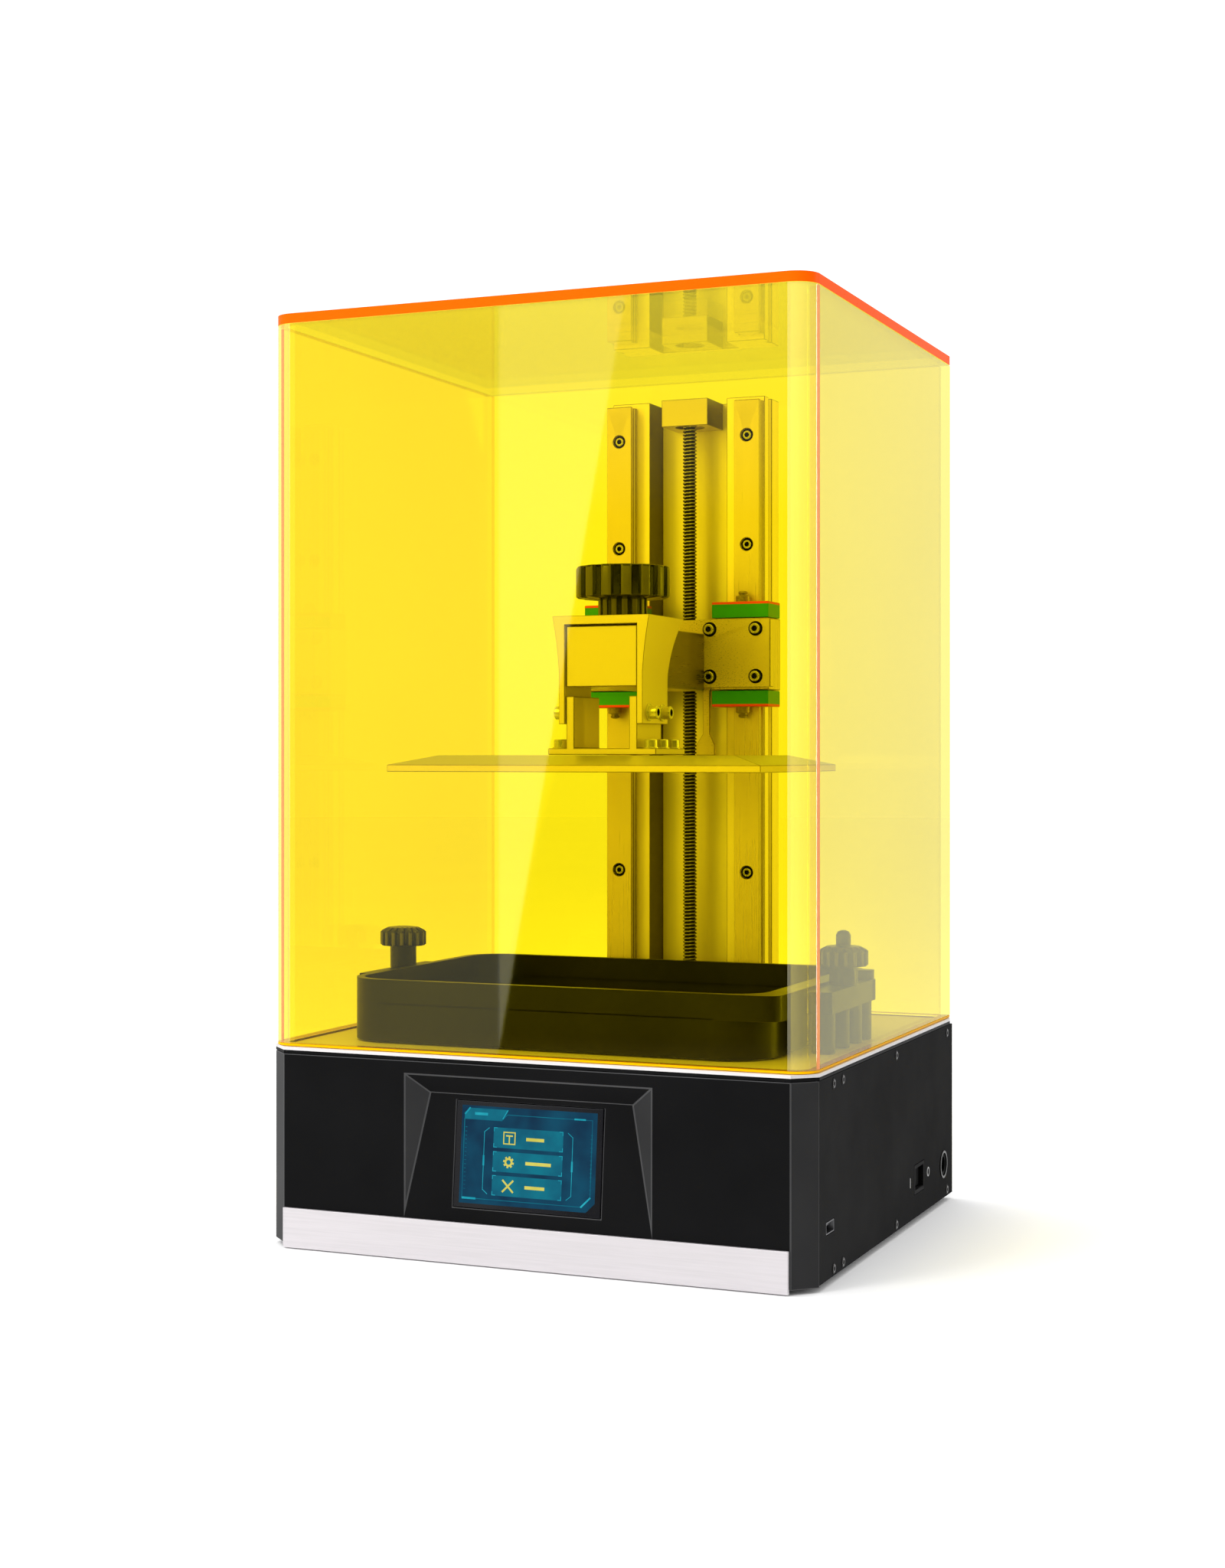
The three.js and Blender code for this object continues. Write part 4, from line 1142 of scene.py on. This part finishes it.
def make_bent_front(low, high, bend, wall, z0):
    """The front sheet, bent round at both sides. The bends and the ends scatter a little light."""
    left, right, y = low.x + bend, high.x - bend, low.y + bend
    outer = arc(left, y, bend, 180, 270, 14) + arc(right, y, bend, 270, 360, 14)
    inner = arc(right, y, bend - wall, 360, 270, 14) + arc(left, y, bend - wall, 270, 180, 14)
    bm = bmesh.new()
    add_prism(bm, outer + inner, z0, high.z)
    paint_faces(bm, 1, lambda normal, _: abs(normal.z) < 0.5 and abs(normal.y) < 0.999)
    piece("cover_front_sheet", bm, "cover", "acrylic", "bend", replaces=("cover_front",))


def make_sill(low, high, corners, wall):
    """The sheets' bottom edge. It glows outwards only, and its glow is painted light."""
    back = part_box("cover_rear")[1][1]
    bend = corners[0]
    inner_corners = (bend - wall, bend - wall, 0.2 * MM, 0.2 * MM)
    outer = rounded(low.x, high.x, low.y, back, corners, 14)
    inner = rounded(low.x + wall, high.x - wall, low.y + wall, back - wall, inner_corners, 14)
    bm = bmesh.new()
    add_tube(bm, outer, inner, low.z, low.z + SILL_HIGH)
    middle = Vector((0, (low.y + back) / 2))
    paint_faces(bm, 1, lambda normal, centre: normal.xy.dot(centre.xy - middle) < -0.01 * MM)
    piece("cover_sill", bm, "cover", "sill", "acrylic", smooth=40)


# ---- studio
def add_area(name, place, target, size, power, mirrored=False):
    """A rectangular lamp that faces target. Only a mirrored one shows in polished surfaces."""
    lamp = bpy.data.lights.new(name, "AREA")
    lamp.shape = "RECTANGLE"
    lamp.size, lamp.size_y = size
    lamp.energy = power
    ob = bpy.data.objects.new(name, lamp)
    bpy.context.scene.collection.objects.link(ob)
    ob.location = place
    ob.rotation_euler = (Vector(target) - Vector(place)).to_track_quat("-Z", "Y").to_euler()
    ob.visible_camera = False
    ob.visible_glossy = mirrored
    return ob


def make_world(scene):
    """Light from all round, dimmer from the right. Mirrored light comes from a white wall behind, the
    ceiling, the ground and a window in front, which has a brighter pane on the right of its post."""
    world = bpy.data.worlds.new("studio")
    scene.world = world
    n = Nodes(world)
    world.cycles.sampling_method = "NONE"
    view = n.add("TexCoord").outputs["Generated"]
    paths = n.add("LightPath").outputs

    def along(direction):
        node = n.add("VectorMath", {"operation": "DOT_PRODUCT"})
        n.put(node.inputs[0], view)
        n.put(node.inputs[1], direction)
        return node.outputs["Value"]

    def growing(direction, start, rise, most):
        beyond = n.maths("SUBTRACT", along(direction), start)
        return n.maths("MINIMUM", n.maths("MULTIPLY", beyond, rise), most)

    window = n.maths("GREATER_THAN", along(mirrored_plane(*WINDOW_EDGE)), 0.0)
    bright = n.maths("GREATER_THAN", 0.0, along(mirrored_plane(*WINDOW_POST)))
    level = n.maths("ADD", WINDOW_LIGHT, n.maths("MULTIPLY", bright, WINDOW_BRIGHT - WINDOW_LIGHT))
    window = n.maths("MULTIPLY", window, level)
    wall = n.maths("GREATER_THAN", along((0, 1, 0)), WALL_EDGE)
    overhead = growing((0, 0, 1), OVERHEAD_START, OVERHEAD_RISE, 1.0)
    ground = growing((0, 0, -1), GROUND_START, GROUND_RISE, GROUND_LIGHT)
    mirrored = n.maths("MAXIMUM", n.maths("MAXIMUM", window, wall), n.maths("MAXIMUM", overhead, ground))
    glossy = paths["Is Glossy Ray"]
    slope = n.maths("MULTIPLY", along((1, 0, 0)), SIDE_SHADE)
    slope = n.maths("MULTIPLY", slope, paths["Is Diffuse Ray"])
    plain = n.maths("MULTIPLY", n.maths("SUBTRACT", 1.0, glossy), WORLD_LIGHT)
    plain = n.maths("MULTIPLY", plain, n.maths("SUBTRACT", 1.0, slope))
    strength = n.maths("ADD", plain, n.maths("MULTIPLY", glossy, mirrored))
    n.fill(n.tree.nodes["Background"], {"Color": (1, 1, 1, 1), "Strength": strength})


def mirrored_plane(top, bottom):
    """The normal of the plane that the camera sees mirrored along a line on the front sheet.

    top and bottom say where the line crosses the sheet's top and bottom, as shares of its width.
    """
    low, high = span("cover_front")
    image = Vector((CAMERA_PLACE.x, 2 * low.y - CAMERA_PLACE.y, CAMERA_PLACE.z))
    wide = high.x - low.x
    upper = Vector((low.x + top * wide, low.y, high.z)) - image
    lower = Vector((low.x + bottom * wide, low.y, low.z)) - image
    normal = upper.cross(lower).normalized()
    return normal if normal.x < 0 else -normal


def make_floor():
    bm = bmesh.new()
    add_prism(bm, circle(8.0, 64), -0.02, 0.0)
    mesh = bpy.data.meshes.new("floor")
    bm.to_mesh(mesh)
    bm.free()
    mesh.materials.append(floor_material())
    floor = bpy.data.objects.new("floor", mesh)
    floor.visible_glossy = False
    bpy.context.scene.collection.objects.link(floor)
    return floor


def make_studio():
    scene = bpy.context.scene
    scene.view_settings.view_transform = "Standard"
    make_world(scene)
    floor = make_floor()
    centre = (0, 0, 0.25)
    add_area("key", (-0.9, -1.6, 1.7), centre, (0.6, 1.2), 12, mirrored=True)
    front = add_area("front", (-0.4, -2.0, 0.3), centre, (1.8, 0.8), 49)
    add_area("top", (0, 0.1, 1.9), centre, (1.4, 1.4), 8)
    add_area("strip", (1.6, 1.1, 0.45), centre, (0.16, 1.2), 9, mirrored=True)
    # The front lamp stands on the floor and would draw a bright edge across it.
    unlit = bpy.data.collections.new("not_lit_from_the_front")
    unlit.objects.link(floor)
    unlit.collection_objects[0].light_linking.link_state = "EXCLUDE"
    front.light_linking.receiver_collection = unlit


def make_camera():
    data = bpy.data.cameras.new("camera")
    data.lens = CAMERA_LENS
    data.sensor_width = 36
    data.shift_x, data.shift_y = CAMERA_SHIFT
    data.clip_start = 0.01
    camera = bpy.data.objects.new("camera", data)
    camera.location = CAMERA_PLACE
    camera.rotation_euler = (math.radians(90), 0, CAMERA_YAW)
    bpy.context.scene.collection.objects.link(camera)
    bpy.context.scene.camera = camera


make_camera()
make_studio()
make_housing()
make_panel_screws()
make_rear_screws()
make_touch_screen()
make_internals()
make_sockets()
make_column()
make_lead_screw()
make_carriage()
make_platform()
make_vat()
make_cover()
